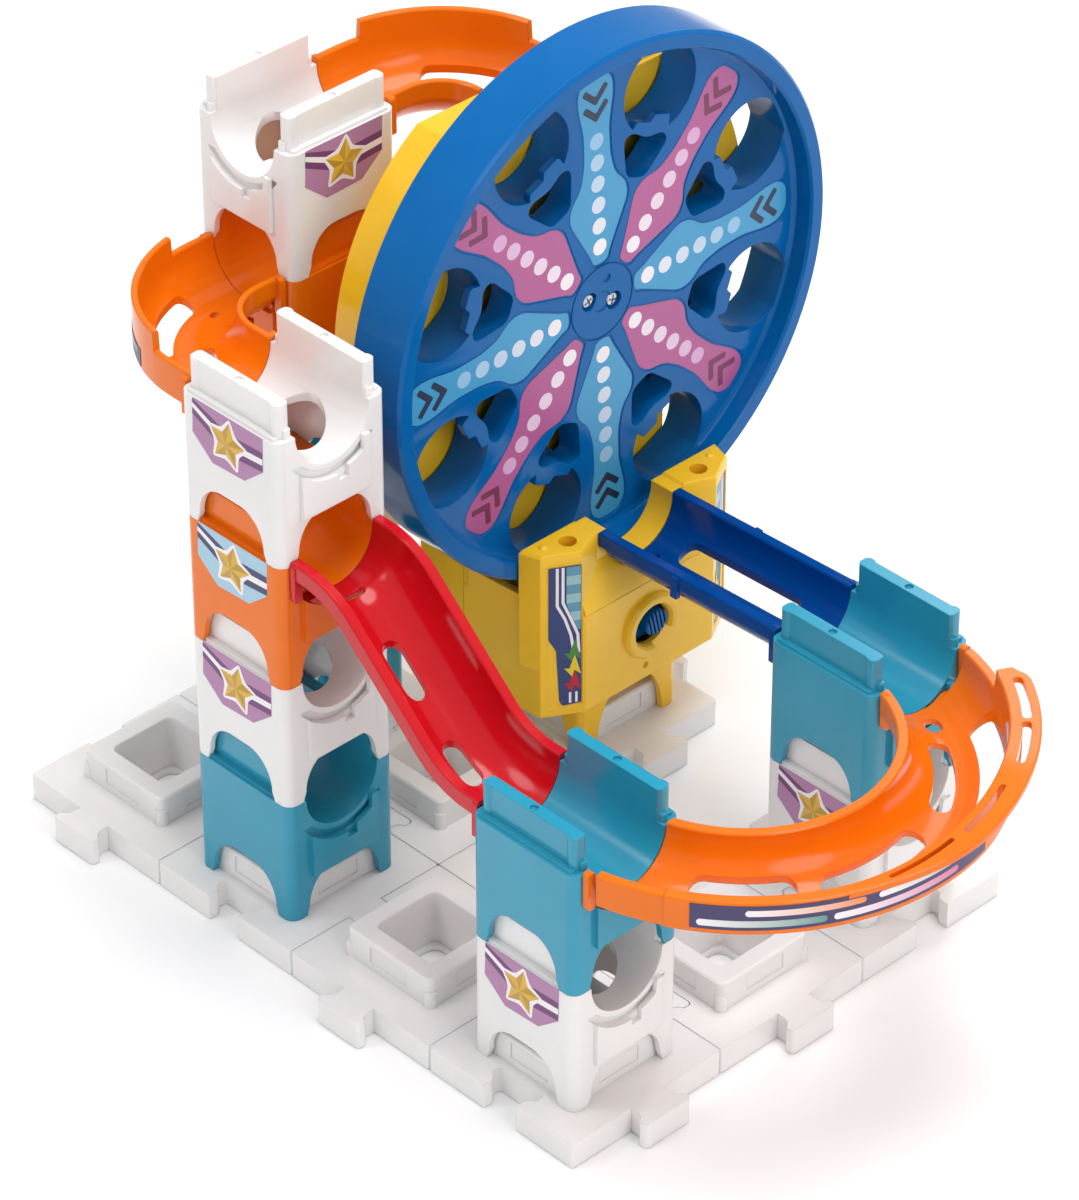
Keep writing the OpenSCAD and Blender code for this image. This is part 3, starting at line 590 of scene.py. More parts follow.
def wheel_solid():
    lathe = [(WHEEL_X0, WHEEL_R - 3.2), (WHEEL_X0, WHEEL_R - 0.8), (WHEEL_X0 + 0.8, WHEEL_R),
             (WHEEL_X1 - 1.2, WHEEL_R), (WHEEL_X1, WHEEL_R - 1.2), (WHEEL_X1, WHEEL_R - 6.0),
             (WHEEL_X1 - 0.9, WHEEL_R - 6.9), (WEB_X + 1.2, WHEEL_R - 7.2),
             (WEB_X + 0.25, WHEEL_R - 8.4), (WEB_X, WHEEL_R - 9.6), (WEB_X, 22.0), (WEB_X, 4.0),
             (WEB_X - WEB_T, 4.0), (WEB_X - WEB_T, WHEEL_R - 3.2)]
    steps = 192
    rings = []
    for k in range(steps):
        c, s = math.cos(2 * math.pi * k / steps), math.sin(2 * math.pi * k / steps)
        rings.append([(x, r * c, r * s) for x, r in lathe])
    wheel = loft(rings, closed=True)
    joins, cuts = [x_cylinder(12.0, WHEEL_X0 + 1, WEB_X - 0.5, 64)], []
    for k in range(SPOKES):
        spoke = SPOKE_TURN + SPOKE_STEP * k
        between = SPOKE_TURN + SPOKE_STEP / 2 + SPOKE_STEP * k
        joins.append(turned(along_x(cup_outline(1.9), WHEEL_X0, WEB_X - 0.4), between))
        joins.append(turned(along_x(window_outline(1.4), WHEEL_X0 + 6, WEB_X - 0.5), between))
        cuts.append(turned(along_x(cup_outline(), WHEEL_X0 - 1, WEB_X - 2.9), between))
        cuts.append(turned(along_x(cup_outline(foot=True), WEB_X - 4, WEB_X + 1), between))
        cuts.append(turned(along_x(window_outline(), WHEEL_X0 - 1, WEB_X + 1), between))
        cuts.append(turned(along_x(spoke_outline(0.5), WEB_X - LABEL_SINK, WEB_X + 1), spoke))
    groove = carve(x_cylinder(15.0, WEB_X - 0.4, WEB_X + 1, 96),
                   [x_cylinder(14.4, WEB_X - 1, WEB_X + 2, 96)])
    cuts.append(groove)
    cuts.append(x_cylinder(3.05, WHEEL_X0 - 1, WEB_X - WEB_T, 32))
    for y, z in HUB_HOLES:
        cuts.append(along_x(disc(y, z, 3.5, 40), HUB_SEAT_X, WEB_X + 2))
    cuts.append(along_x(disc(2.4, 8.6, 1.7, 20), WEB_X - 0.6, WEB_X + 2))
    return tidy(carve(wheel, cuts, joins), "wheel_body", 30.0)


# ---------- tracks ----------

FACE_X = 3.5 * PITCH + HALF_BLOCK + FACE_GAP
LOW_R = 1.03 * PITCH  # centre-line radius of the low curve
LOW_X = FACE_X - math.sqrt(LOW_R * LOW_R - PITCH * PITCH)
CHAN_OUT = CHAN_R + 2.2


def section(left, right):
    """Channel section (across, up); left and right: (wall height, rim edge, skirt depth)."""
    radius, outer, arc = CHAN_R, CHAN_OUT, 28

    def side(height, edge, depth):
        inside = edge - 1.8
        if inside > outer:
            under = [(inside, height - 1.8), (outer, height - 1.8)]
            start = 0.0
        else:
            start = math.acos(max(-1.0, min(1.0, inside / outer)))
            level_y = -outer * math.sin(start)
            under = [(inside, (level_y - depth) * 0.5), (inside, level_y)]
        return [(radius, height - 0.7), (radius + 0.5, height), (edge - 0.5, height),
                (edge, height - 0.6), (edge, -depth), (inside, -depth)] + under, start

    r_pts, r_start = side(*right)
    l_pts, l_start = side(*left)
    pts = []
    for k in range(arc + 1):
        t = math.pi + math.pi * k / arc
        pts.append((radius * math.cos(t), radius * math.sin(t)))
    pts += r_pts
    for k in range(1, arc):
        t = -r_start - (math.pi - r_start - l_start) * k / arc
        pts.append((outer * math.cos(t), outer * math.sin(t)))
    pts += [(-x, y) for x, y in reversed(l_pts)]
    return pts


def sweep(stations):
    """stations: (place, heading in plan, pitch, section); across points to the right of travel."""
    rings = []
    for place, heading, pitch, outline in stations:
        frame_matrix = move(*place) @ rot("Z", heading) @ rot("Y", pitch)
        rings.append([frame_matrix @ Vector((0, -a, b)) for a, b in outline])
    return loft(rings)


def polar(r, degrees):
    return (r * math.cos(math.radians(degrees)), r * math.sin(math.radians(degrees)))


def arc_points(centre, r, a0, a1, n):
    turns = [polar(r, a0 + (a1 - a0) * k / n) for k in range(n + 1)]
    return [(centre[0] + x, centre[1] + y) for x, y in turns]


def arc_slot(r, a0, a1, width):
    """Outline of a slot bent about the origin, with round ends."""
    h, steps = width / 2, 14
    pts = arc_points((0, 0), r + h, a0, a1, steps)
    pts += arc_points(polar(r, a1), h, a1, a1 + 180, 8)[1:-1]
    pts += arc_points((0, 0), r - h, a1, a0, steps)
    pts += arc_points(polar(r, a0), h, a0 + 180, a0 + 360, 8)[1:-1]
    return pts


def slot_cutter(outline, z0=-40.0, z1=-2.0):
    return extrude(outline, z0, z1)


def track_ends(place, heading):
    """Ears and the tongue that hooks behind a block's lip, for an end at place facing heading."""
    at = move(*place) @ rot("Z", heading)
    pieces = [(along_x(rounded_rect(3.4, 15.0, 1.3, s * 19.4, -6.0), -2.6, -0.05), at)
              for s in (-1, 1)]
    ring = carve(x_cylinder(CHAN_OUT + 2.4, -3.0, 2.3, 72),
                 [x_cylinder(CHAN_OUT + 0.3, -0.1, 6.0, 72),
                  x_cylinder(CHAN_R + 0.8, -6.0, 0.2, 72),
                  box_mesh(-8, 8, -30, 30, -14.5, 30)])
    pieces.append((ring, at))
    return pieces


def quarter_track(lead_start, lead_end):
    """Left-hand quarter turn about the origin, from +Y heading -X round to -X heading -Y."""
    r = PITCH / 2
    low, tall = (2.4, 18.9, 11.0), (9.6, 18.9, 11.0)
    inner = (1.2, 18.8, 6.0)
    stations = [((lead_start, r, 0), 180, 0, section(inner, low))]
    plan = [(90, low), (94, low), (98, low), (100.4, low), (100.9, tall)]
    plan += [(a, tall) for a in range(104, 168, 4)]
    plan += [(169.4, tall), (169.9, low), (174, low), (180, low)]
    for a, outer in plan:
        stations.append(((*polar(r, a), 0.0), a + 90, 0, section(inner, outer)))
    stations.append(((-r, -lead_end, 0), 270, 0, section(inner, low)))
    body = sweep(stations)
    cuts = [slot_cutter(arc_slot(r + 9.0, 106, 142, 7.0)),
            slot_cutter(arc_slot(r - 4.5, 146, 166, 8.0)),
            slot_cutter(arc_slot(r, 97, 99, 2.6))]
    joins = track_ends((-r, -lead_end, 0), 270)
    if lead_start > 5:
        joins += track_ends((lead_start, r, 0), 0)
    return tidy(carve(body, cuts, joins), "quarter_track")


def low_curve():
    """Wide turn about its own centre, from the front tower (negative angle) to the back tower."""
    r = LOW_R
    reach = math.degrees(math.asin(PITCH / r))
    face_off = math.sqrt(r * r - PITCH * PITCH)

    def rim_height(a):
        return 2.6 + 7.0 * smooth_step((a + 26.0) / 60.0)

    marks = [-reach + 2 * reach * k / 76 for k in range(77)] + [-61.6, -61.2, 61.6, 62.0]
    stations = []
    for a in sorted(marks):
        if abs(a) > 61.5:
            outer = (2.0, 20.4, 10.0 if a < 0 else 7.0)
        else:
            outer = (rim_height(a), 21.0, 10.0 - 3.5 * smooth_step((a - 12.0) / 24.0))
        # heading +90 turns left about the centre, so the outer wall is on the right
        stations.append(((*polar(r, a), 0), a + 90, 0, section((1.4, 20.4, 6.5), outer)))
    body = sweep(stations)
    # broad flange that grows out of the outer rim before the middle of the turn
    stations = []
    for k in range(61):
        a = -24.0 + 85.5 * k / 60
        top = rim_height(a)
        grown, faded = smooth_step((a + 24.0) / 34.0), smooth_step((a - 56.5) / 5.0)
        edge = 21.2 + 6.1 * grown - 4.0 * faded ** 2
        outline = [(17.0, top - 2.4), (edge, top - 2.4), (edge, top - 0.6), (edge - 0.6, top),
                   (17.0, top)]
        stations.append(((*polar(r, a), 0), a + 90, 0, outline))
    flange = sweep(stations)
    cuts = []
    for a0, a1, off, width in ((-57, -33, -6.5, 9.0), (-19, 12, -5.0, 8.5), (31, 57, -4.0, 7.5),
                               (28, 59, 11.8, 8.0), (-70, -68.5, 0, 2.4), (67.5, 69.0, -1, 6.0)):
        cuts.append(slot_cutter(arc_slot(r + off, a0, a1, width)))
    for a0, a1, off, width in ((-14, 2, 19.6, 1.8), (6, 21, 20.6, 2.0), (30, 42, 22.2, 3.2),
                               (45, 57, 22.4, 3.4)):
        cuts.append(extrude(arc_slot(r + off, a0, a1, width), 1.5, 20))
    # square the two ends off against the tower faces
    cuts.append(box_mesh(-PITCH, face_off, -2 * PITCH, 2 * PITCH, -60, 60))
    joins = track_ends((face_off, -PITCH, 0), 180) + track_ends((face_off, PITCH, 0), 180)
    return tidy(carve(carve(body, cuts, [flange]), [], joins), "low_curve")


def slide_path(total, drop, flat, angle):
    """(x, z, pitch) along an S of two equal arcs and a straight between."""
    run, n = total - 2 * flat, 14
    sn, cs = math.sin(math.radians(angle)), math.cos(math.radians(angle))
    r = (run * sn - drop * cs) / (2 * (1 - cs))
    pts = [(0.0, 0.0, 0.0)]
    for k in range(n + 1):
        t = math.radians(angle * k / n)
        pts.append((flat + r * math.sin(t), -r * (1 - math.cos(t)), angle * k / n))
    for k in range(n + 1):
        t = math.radians(angle * (1 - k / n))
        pts.append((total - flat - r * math.sin(t), -drop + r * (1 - math.cos(t)),
                    angle * (1 - k / n)))
    pts.append((total, -drop, 0.0))
    return pts


def slide_solid(total):
    rail = (2.2, 20.6, 4.2)
    stations = [((x, 0, z), 0, pitch, section(rail, rail))
                for x, z, pitch in slide_path(total, LEVEL_H, 5.0, 42.0)]
    body = sweep(stations)
    cuts = []
    for x0, x1 in ((24, 41), (53, 69)):
        cuts.append(slot_cutter(rounded_rect(x1 - x0, 8.0, 3.9, (x0 + x1) / 2, 0), -90, 10))
    cuts.append(slot_cutter(rounded_rect(2.4, 9.0, 1.1, 8.5, 0), -90, -5))
    joins = track_ends((0, 0, 0), 180) + track_ends((total, 0, -LEVEL_H), 0)
    return tidy(carve(body, cuts, joins), "slide")


def chute_solid(length, fall):
    tilt = math.degrees(math.atan2(fall, length))
    rail = (1.4, 20.6, 4.0)
    stations = [((x, 0, -x * fall / length), 0, tilt, section(rail, rail)) for x in (0, length)]
    body = sweep(stations)
    cuts = [slot_cutter(rounded_rect(56, 8.5, 3.8, 45, -8.0), -90, 10),
            slot_cutter(rounded_rect(2.2, 6.0, 1.0, 80, 0), -90, 10)]
    joins = [box_mesh(47, 50, -21.6, -19.6, -9.6, -1.0), box_mesh(47, 50, 19.6, 21.6, -9.6, -1.0)]
    joins += track_ends((0, 0, 0), 180)
    return tidy(carve(body, cuts, joins), "chute")


# ---------- floor tiles ----------

TILE_GAP = 0.3
TAB_L, TAB_NECK, TAB_HEAD, NECK_R = 10.0, 7.5, 10.5, 4.4   # length, half widths, neck's fillet
RING_W, RING_OPEN, RING_H = 42.6, 28.0, 12.0


def tab_outline(grow=0.0):
    """Jigsaw tab on a tile's +X side: a narrow neck and a square head with rounded corners."""
    side, r = PITCH / 2, NECK_R - grow
    cx, cy = side + 2.6, TAB_NECK + NECK_R
    end = math.asin((TAB_HEAD + grow - cy) / r)
    half = [(side - 3.0, TAB_NECK + grow)]
    for k in range(9):
        a = -math.pi / 2 + (end + math.pi / 2) * k / 8
        half.append((cx + r * math.cos(a), cy + r * math.sin(a)))
    for k in range(5):
        a = math.radians(90.0 - 22.5 * k)
        half.append((side + TAB_L + grow - 1.5 + 1.5 * math.cos(a),
                     TAB_HEAD + grow - 1.5 + 1.5 * math.sin(a)))
    return half + [(x, -y) for x, y in reversed(half)]


def square_stack(levels, radius):
    """Solid through rounded squares; levels: (z, width)."""
    return loft([[(x, y, z) for x, y in rounded_rect(w, w, radius)] for z, w in levels])


def tile_solid():
    slab = extrude(rounded_rect(PITCH - TILE_GAP, PITCH - TILE_GAP, 1.0), 0.0, TILE_H)
    tab = extrude(tab_outline(), 0.0, TILE_H)
    notch = extrude(tab_outline(TILE_GAP), -1.0, TILE_H + 1)
    joins = [tab, (tab, rot("Z", -90))]
    cuts = [(notch, move(-PITCH, 0, 0)), (notch, move(0, PITCH, 0) @ rot("Z", -90))]
    top = TILE_H + RING_H
    joins.append(square_stack(((TILE_H - 0.5, RING_W), (top - 0.7, RING_W), (top, RING_W - 1.2)),
                              3.0))
    for i in (-1, 1):
        for j in (-1, 1):
            joins.append(extrude(disc(i * 19.5, j * 19.5, 2.4, 24), TILE_H - 0.5, TILE_H + 6.5))
    cuts.append(square_stack(((1.8, RING_OPEN - 1.6), (top - 0.8, RING_OPEN),
                              (top + 1, RING_OPEN + 1.6)), 3.0))
    cuts.append(extrude(rounded_rect(RING_OPEN - 5.0, RING_OPEN - 5.0, 4.0), -1.0, 3.0))
    for k in range(4):
        panel = box_mesh(RING_W / 2 - 0.45, RING_W / 2 + 1, -9.0, 9.0, TILE_H + 3.0, TILE_H + 9.5)
        cuts.append((panel, rot("Z", 90 * k)))
    return tidy(carve(slab, cuts, joins), "tile")


# ---------- lifting base ----------

BASE_Z0, BASE_TOP, PILLAR_TOP = 39.5, 81.0, 109.5
JOIN_X, FRONT_X = 94.3, 139.3   # joint with the rear housing, and front face
PILLAR_X = 122.6                # back of the pillars and the shelf
CORNER_X, CORNER_Y = 131.0, 46.5  # where the slanted corner starts
FLAT_Y = 32.0                   # half width of the front face
CHUTE_FALL = 3.2
CHUTE_Z = level(2) - 3.5        # floor line of the channel at the base
COLLAR_X = 133.2                # front of the base's own length of channel
SWITCH_Y, SWITCH_Z = 2.5, 62.0


def base_front():
    """Front half of the base: body, pillars, shelf, switch bezel and feet; y is from RUN_Y."""
    plan = [(JOIN_X, -49), (CORNER_X, -CORNER_Y), (FRONT_X, -FLAT_Y), (FRONT_X, FLAT_Y),
            (CORNER_X, CORNER_Y), (JOIN_X, 49)]
    body = extrude(plan, BASE_Z0, BASE_TOP)
    joins, cuts = [], []
    shelf = [(PILLAR_X, 60), (FRONT_X, 60), (FRONT_X, 80.0), (139.0, 81.6), (138.4, 83.4),
             (131.2, 102.6), (130.2, 103.8), (128.6, 104.2), (PILLAR_X, 104.2)]
    joins.append(along_y(shelf, -FLAT_Y, FLAT_Y))
    for s in (-1, 1):
        foot = [(PILLAR_X, 49), (CORNER_X, CORNER_Y), (138.5, 33.4), (133.5, 21.3),
                (PILLAR_X, 21.3)]
        cx, cy = 130.0, 34.0
        rings = []
        for z, inset in ((60, 0.0), (PILLAR_TOP - 1.2, 0.0), (PILLAR_TOP, 1.1)):
            rings.append([(x + (cx - x) * inset / 14, s * (y + (cy - y) * inset / 14), z)
                          for x, y in foot])
        joins.append(loft(rings))
        side = [(96.3, s * 44.5), (124, s * 44.5), (124, s * 47.0), (96.3, s * 48.9)]
        joins.append(extrude(side, BASE_TOP - 1, 89.0))
        cuts.append(extrude(disc(130.2, s * 32.5, 3.3, 32), PILLAR_TOP - 9, PILLAR_TOP + 2))
        knob = ((1.7, PILLAR_TOP - 1), (1.5, PILLAR_TOP + 0.3), (0.8, PILLAR_TOP + 0.7))
        joins.append(loft([[(127.2 + r * math.cos(0.4 * k), s * 41.5 + r * math.sin(0.4 * k), z)
                            for k in range(15)] for r, z in knob]))
        # shallow field that the corner label sits in
        cuts.append((box_mesh(2.6, 15.4, -LABEL_SINK, 1.5, 43.0, 104.5), label_face(s)))
    inner = [(JOIN_X - 1, -46.8), (129.7, -44.5), (137.1, -31.2), (137.1, 31.2), (129.7, 44.5),
             (JOIN_X - 1, 46.8)]
    cuts.append(extrude(inner, BASE_Z0 + 2.2, BASE_TOP - 2.2))
    joins.append(box_mesh(PILLAR_X, COLLAR_X, -22, 22, 97.5, CHUTE_Z + 1.4))
    cuts.append(x_cylinder(18.9, COLLAR_X, FRONT_X + 2, 96, cz=CHUTE_Z))
    cuts.append(x_cylinder(CHAN_R, 120, COLLAR_X + 1, 96, cz=CHUTE_Z))
    cuts.append(box_mesh(120, COLLAR_X + 1, -CHAN_R, CHAN_R, CHUTE_Z, PILLAR_TOP + 5))
    cuts.append(box_mesh(COLLAR_X, FRONT_X + 2, -21.3, 21.3, CHUTE_Z - 4.8, PILLAR_TOP + 5))
    # bezel: a ring that is open at its lower right
    ring = lathe_x([(FRONT_X - 1, 13.4), (FRONT_X + 1.4, 13.1), (FRONT_X + 2.4, 12.2),
                    (FRONT_X + 2.6, 10.9), (FRONT_X + 2.2, 9.4), (FRONT_X + 1.0, 8.5),
                    (FRONT_X - 2, 8.3)], 72)
    wedge = along_x([(0, -1), (22, -9), (22, -22), (2, -22)], FRONT_X - 0.02, FRONT_X + 4)
    joins.append((carve(ring, [wedge]), move(0, 0, SWITCH_Z)))
    cuts.append(x_cylinder(8.2, FRONT_X - 8, FRONT_X + 4, 64, cz=SWITCH_Z))
    cuts.append(x_cylinder(1.3, FRONT_X - 0.8, FRONT_X + 1, 24, cy=-2.0, cz=45.0))
    shell = carve(body, cuts, joins)
    feet = extrude(rounded_rect(2 * HALF_BLOCK, 2 * HALF_BLOCK, 4), TILE_H, BASE_Z0 + 0.5)
    bow = [math.radians(180 - 7.5 * k) for k in range(25)]
    arch = [(-16.6, -1.0), *((16.6 * math.cos(t), 24.5 * math.sin(t)) for t in bow), (16.6, -1.0)]
    across = along_x([(y, TILE_H + z) for y, z in arch], -40, 40)
    feet = carve(feet, [extrude(rounded_rect(44.2, 44.2, 2), TILE_H - 1, BASE_Z0 - 2), across,
                        (across, rot("Z", 90)),
                        box_mesh(-40, JOIN_X - 1.5 * PITCH, -40, 40, 0, 60)])
    return tidy(carve(shell, [], [(feet, move(1.5 * PITCH, 0, 0))]), "base_front", 28.0)


def label_face(s):
    """Frame of the slanted corner: x from left to right as one faces it, y out of it, z up."""
    width = 16.71
    ux, uy = (FRONT_X - CORNER_X) / width, (CORNER_Y - FLAT_Y) / width
    start = (CORNER_X, -CORNER_Y) if s < 0 else (FRONT_X, FLAT_Y)
    if s > 0:
        ux = -ux
    return Matrix(((ux, uy, 0, start[0]), (uy, -ux, 0, start[1]), (0, 0, 1, 0), (0, 0, 0, 1)))


def switch_cap():
    """Ribbed round cap on its slider, about the switch's own centre line."""
    cap = lathe_x([(FRONT_X - 4.9, 5.3), (FRONT_X + 0.6, 5.3), (FRONT_X + 1.3, 4.7)], 48)
    bars = [box_mesh(FRONT_X, FRONT_X + 2, -0.42 + 1.75 * k, 0.42 + 1.75 * k, -7, 7)
            for k in range(-2, 3)]
    grooves = [(bar, rot("X", 12)) for bar in bars]
    plate = box_mesh(133.0, 134.6, -12.0, 12.0, -8.0, 8.0)
    return tidy(carve(cap, grooves, [plate]), "switch_cap")


def hub_screw():
    """Pan-head screw with a cross recess, axis along X, seat at x = 0."""
    head = lathe_x([(-3.0, 1.3), (-0.02, 1.3), (0.0, 2.85), (0.7, 2.8), (1.25, 2.3), (1.5, 1.4),
                    (1.55, 0.4)], 40)
    cross = [(box_mesh(0.5, 3, -1.75, 1.75, -0.38, 0.38), rot("X", a)) for a in (25, 115)]
    return tidy(carve(head, cross), "hub_screw")


def wrapped(p, r, u0, u1, low, high, ink_a, ink_b, lift, ends=0.0, step=1.6):
    """Adds a strip to label p, bent to radius r; u is length along it, ends rounds its ends."""
    n = max(3, int(abs(u1 - u0) / step))
    mid, half = (low + high) / 2, (high - low) / 2
    rows = []
    for k in range(n + 1):
        t = k / n
        u = u0 + (u1 - u0) * t
        h = half
        if ends:
            edge = min(abs(u - u0), abs(u1 - u))
            h = half * math.sqrt(max(0.03, 1 - (1 - min(1.0, edge / ends)) ** 2))
        a = u / r
        rows.append([(d * math.cos(a), d * math.sin(a), mid + w * h) for d, w in
                     ((r, -1), (r + lift, -1), (r + lift, 1), (r, 1))])
    base = len(p.verts)
    for row in rows:
        p.verts += row
    p.faces.append((base, base + 1, base + 2, base + 3))
    p.inks.append(ink_a)
    for k in range(n):
        t = k / (n - 1) if n > 1 else 0
        ink = tuple(ink_a[c] * (1 - t) + ink_b[c] * t for c in range(4))
        for q in range(4):
            a, b = base + 4 * k + q, base + 4 * k + (q + 1) % 4
            p.faces.append((a, a + 4, b + 4, b))
            p.inks.append(ink)
    last = base + 4 * n
    p.faces.append((last + 3, last + 2, last + 1, last))
    p.inks.append(ink_b)


# ---------- camera, lights, floor ----------

# the photo's own view, azimuth 46 and elevation 35.5 degrees, in metres
CAMERA_PLACE = (1.12518, -1.07093, 1.22339)
CAMERA_GAZE = (-0.5867, 0.5646, -0.5806)

camera_data = bpy.data.cameras.new("camera")
camera = new_object("camera", camera_data)
camera.location = CAMERA_PLACE
camera.rotation_euler = Vector(CAMERA_GAZE).to_track_quat("-Z", "Y").to_euler()
camera_data.lens = 166.1
camera_data.sensor_width = 36.0
camera_data.shift_y = -0.0122
camera_data.shift_x = -0.0013
camera_data.clip_end = 20.0
bpy.context.scene.camera = camera


def area_light(name, place, target, size, watts):
    """White soft light; places and size in metres."""
    data = bpy.data.lights.new(name, "AREA")
    data.shape = "DISK"
    data.size = size
    data.energy = watts
    obj = new_object(name, data)
    obj.location = place
    obj.rotation_euler = (Vector(target) - Vector(place)).to_track_quat("-Z", "Y").to_euler()


area_light("key", (-0.55, -1.05, 1.35), (0, 0, 0.1), 0.7, 4.6)
area_light("fill", (1.3, -0.15, 0.9), (0, 0, 0.1), 0.9, 5.5)
area_light("top", (0.1, 0.2, 1.6), (0, 0, 0), 1.0, 14.0)
area_light("back", (-0.4, 1.2, 0.9), (0, 0, 0.15), 0.8, 4.0)

world = bpy.data.worlds.new("studio")
world.use_nodes = True
fill(world.node_tree.nodes["Background"], Color=(1.0, 1.0, 1.0, 1.0), Strength=0.56)
bpy.context.scene.world = world
bpy.context.scene.view_settings.view_transform = "Standard"

floor_mat = bpy.data.materials.new("floor")
floor_mat.use_nodes = True
fill(floor_mat.node_tree.nodes["Principled BSDF"], Base_Color=(0.97, 0.97, 0.975, 1.0),
     Roughness=0.7)
floor_mesh = bpy.data.meshes.new("floor")
HALF_FLOOR = 6.0
corners = [(x * HALF_FLOOR, y * HALF_FLOOR, 0) for x, y in ((-1, -1), (1, -1), (1, 1), (-1, 1))]
floor_mesh.from_pydata(corners, [], [(0, 1, 2, 3)])
floor_mesh.materials.append(floor_mat)
floor = new_object("floor", floor_mesh)
floor.location = (0, 0, -0.0002)

# ---------- pieces in place ----------

def tile_centre(i, j, z):
    """Grid square i along X and j along Y, at height z."""
    return move((i + 0.5) * PITCH, (j + 0.5) * PITCH, z)


plain_block = block_solid(open_both=True, drop=False)
drop_block = block_solid(open_both=True, drop=True)
catch_block = block_solid(open_both=False, drop=False)
# (tower, grid square, blocks from the lowest up as (solid, turn, colour))
TOWERS = [
    ("a", 1, 0, [(plain_block, 0, "teal"), (drop_block, 0, "white"), (catch_block, 0, "orange"),
                 (drop_block, 0, "white")]),
    ("b", 0, 1, [(plain_block, 0, "teal"), (drop_block, 0, "white"), (plain_block, 0, "teal"),
                 (catch_block, -90, "orange"), (drop_block, 90, "white")]),
    ("c", 3, 0, [(drop_block, 0, "white"), (plain_block, 0, "teal")]),
    ("d", 3, 2, [(drop_block, 0, "white"), (plain_block, 0, "teal")]),
]
for tower, i, j, blocks in TOWERS:
    for n, (mesh, turn, colour) in enumerate(blocks, 1):
        add_object(f"block_{tower}{n}", mesh, tile_centre(i, j, level(n - 1)) @ rot("Z", turn),
                   ROOT, f"{colour}_plastic", [f"tower_{tower}_block_{n}"])

LEAD = PITCH / 2 - HALF_BLOCK - FACE_GAP
MIDDLE_CURVE_PLACE = move(PITCH, PITCH, level(4)) @ rot("Z", 90)
LOW_CURVE_PLACE = move(LOW_X, 1.5 * PITCH, level(2))
add_object("top_curve", quarter_track(1.7, LEAD), move(PITCH, 2 * PITCH, level(5)), ROOT,
           "orange_plastic", ["curve_top"])
add_object("middle_curve", quarter_track(LEAD, LEAD), MIDDLE_CURVE_PLACE, ROOT, "orange_plastic",
           ["curve_mid"])
add_object("low_curve", low_curve(), LOW_CURVE_PLACE, ROOT, "orange_plastic", ["curve_low"])
add_object("slide", slide_solid(2 * PITCH - 49.6),
           move(1.5 * PITCH + HALF_BLOCK + FACE_GAP, PITCH / 2, level(3)), ROOT, "red_plastic",
           ["slide_track"])
CHUTE_END = 3.5 * PITCH - HALF_BLOCK - FACE_GAP
add_object("chute", chute_solid(CHUTE_END - COLLAR_X - 0.2, CHUTE_FALL),
           move(CHUTE_END, RUN_Y, level(2)) @ rot("Z", 180), ROOT, "navy_plastic", ["chute_track"])
add_object("wheel_body", wheel_solid(), move(0, RUN_Y, AXLE_Z), WHEEL, "blue_plastic",
           ["wheel", "hub_cap"])

# ---------- spoke labels ----------

BLUE_FIELD, BLUE_DOT, BLUE_MARK = srgb(62, 156, 204), srgb(150, 196, 228), srgb(26, 44, 76)
PINK_FIELD, PINK_DOT, PINK_MARK = srgb(182, 92, 148), srgb(222, 172, 214), srgb(120, 44, 86)


def spoke_label(field, tint, mark):
    p = Print()
    p.slab(spoke_outline(-0.3), field, 0.12)
    for k in range(6):
        t = k / 5.0
        ink = tuple(PAPER[c] * (1 - t) + tint[c] * t for c in range(3)) + (1.0,)
        p.slab(disc(22.6 + 8.6 * k, 0, 3.2, 24), ink, 0.15, 0.06)
    for x in (73.8, 80.4):
        p.slab(smooth_corners(ribbon([(x + 6.4, 5.4), (x + 1.2, 0), (x + 6.4, -5.4)], 2.5), 0.8),
               mark, 0.15, 0.06)
    return p


blue_label = spoke_label(BLUE_FIELD, BLUE_DOT, BLUE_MARK).mesh("spoke_label_blue")
pink_label = spoke_label(PINK_FIELD, PINK_DOT, PINK_MARK).mesh("spoke_label_pink")
# a label's own x runs outwards along the spoke, its z out of the wheel's face
FACE_OUT = Matrix(((0, 0, 1, 0), (1, 0, 0, 0), (0, 1, 0, 0), (0, 0, 0, 1)))
for k in range(SPOKES):
    spoke_turn = rot("X", SPOKE_TURN + SPOKE_STEP * k)
    place = move(WEB_X - LABEL_SINK, RUN_Y, AXLE_Z) @ spoke_turn @ FACE_OUT
    stands = [["spoke_labels_blue"], ["spoke_labels_pink"]][k] if k < 2 else []
    add_object(f"spoke_label_{k}", pink_label if k % 2 else blue_label, place, WHEEL,
               "label_pink" if k % 2 else "label_light_blue", stands)

# ---------- floor tiles in place ----------

tile_mesh = tile_solid()
TILES = [(0, 0, 0), (1, 0, 90), (2, 0, 0), (3, 0, 90),
         (0, 1, 0), (1, 1, 90), (2, 1, 0), (3, 1, 90), (1, 2, 90), (3, 2, 180)]
for i, j, turn in TILES:
    add_object(f"floor_tile_{i}{j}", tile_mesh, tile_centre(i, j, 0) @ rot("Z", turn), ROOT,
               "white_plastic", [f"tile_{i}{j}"])

# ---------- base, switch and hub in place ----------

RUN = move(0, RUN_Y, 0)
add_object("base_front", base_front(), RUN, ROOT, "yellow_plastic", ["front_shell"])
add_object("switch_cap", switch_cap(), RUN @ move(0, SWITCH_Y, SWITCH_Z), "switch", "blue_plastic",
           ["switch_knob"])
screw = hub_screw()
for k, (dy, dz) in enumerate(HUB_HOLES):
    place = move(HUB_SEAT_X, RUN_Y + dy, AXLE_Z + dz) @ rot("X", 50 * k)
    add_object(f"hub_screw_{k}", screw, place, WHEEL, "screw_steel", ["hub_screws"])

# ---------- base labels ----------

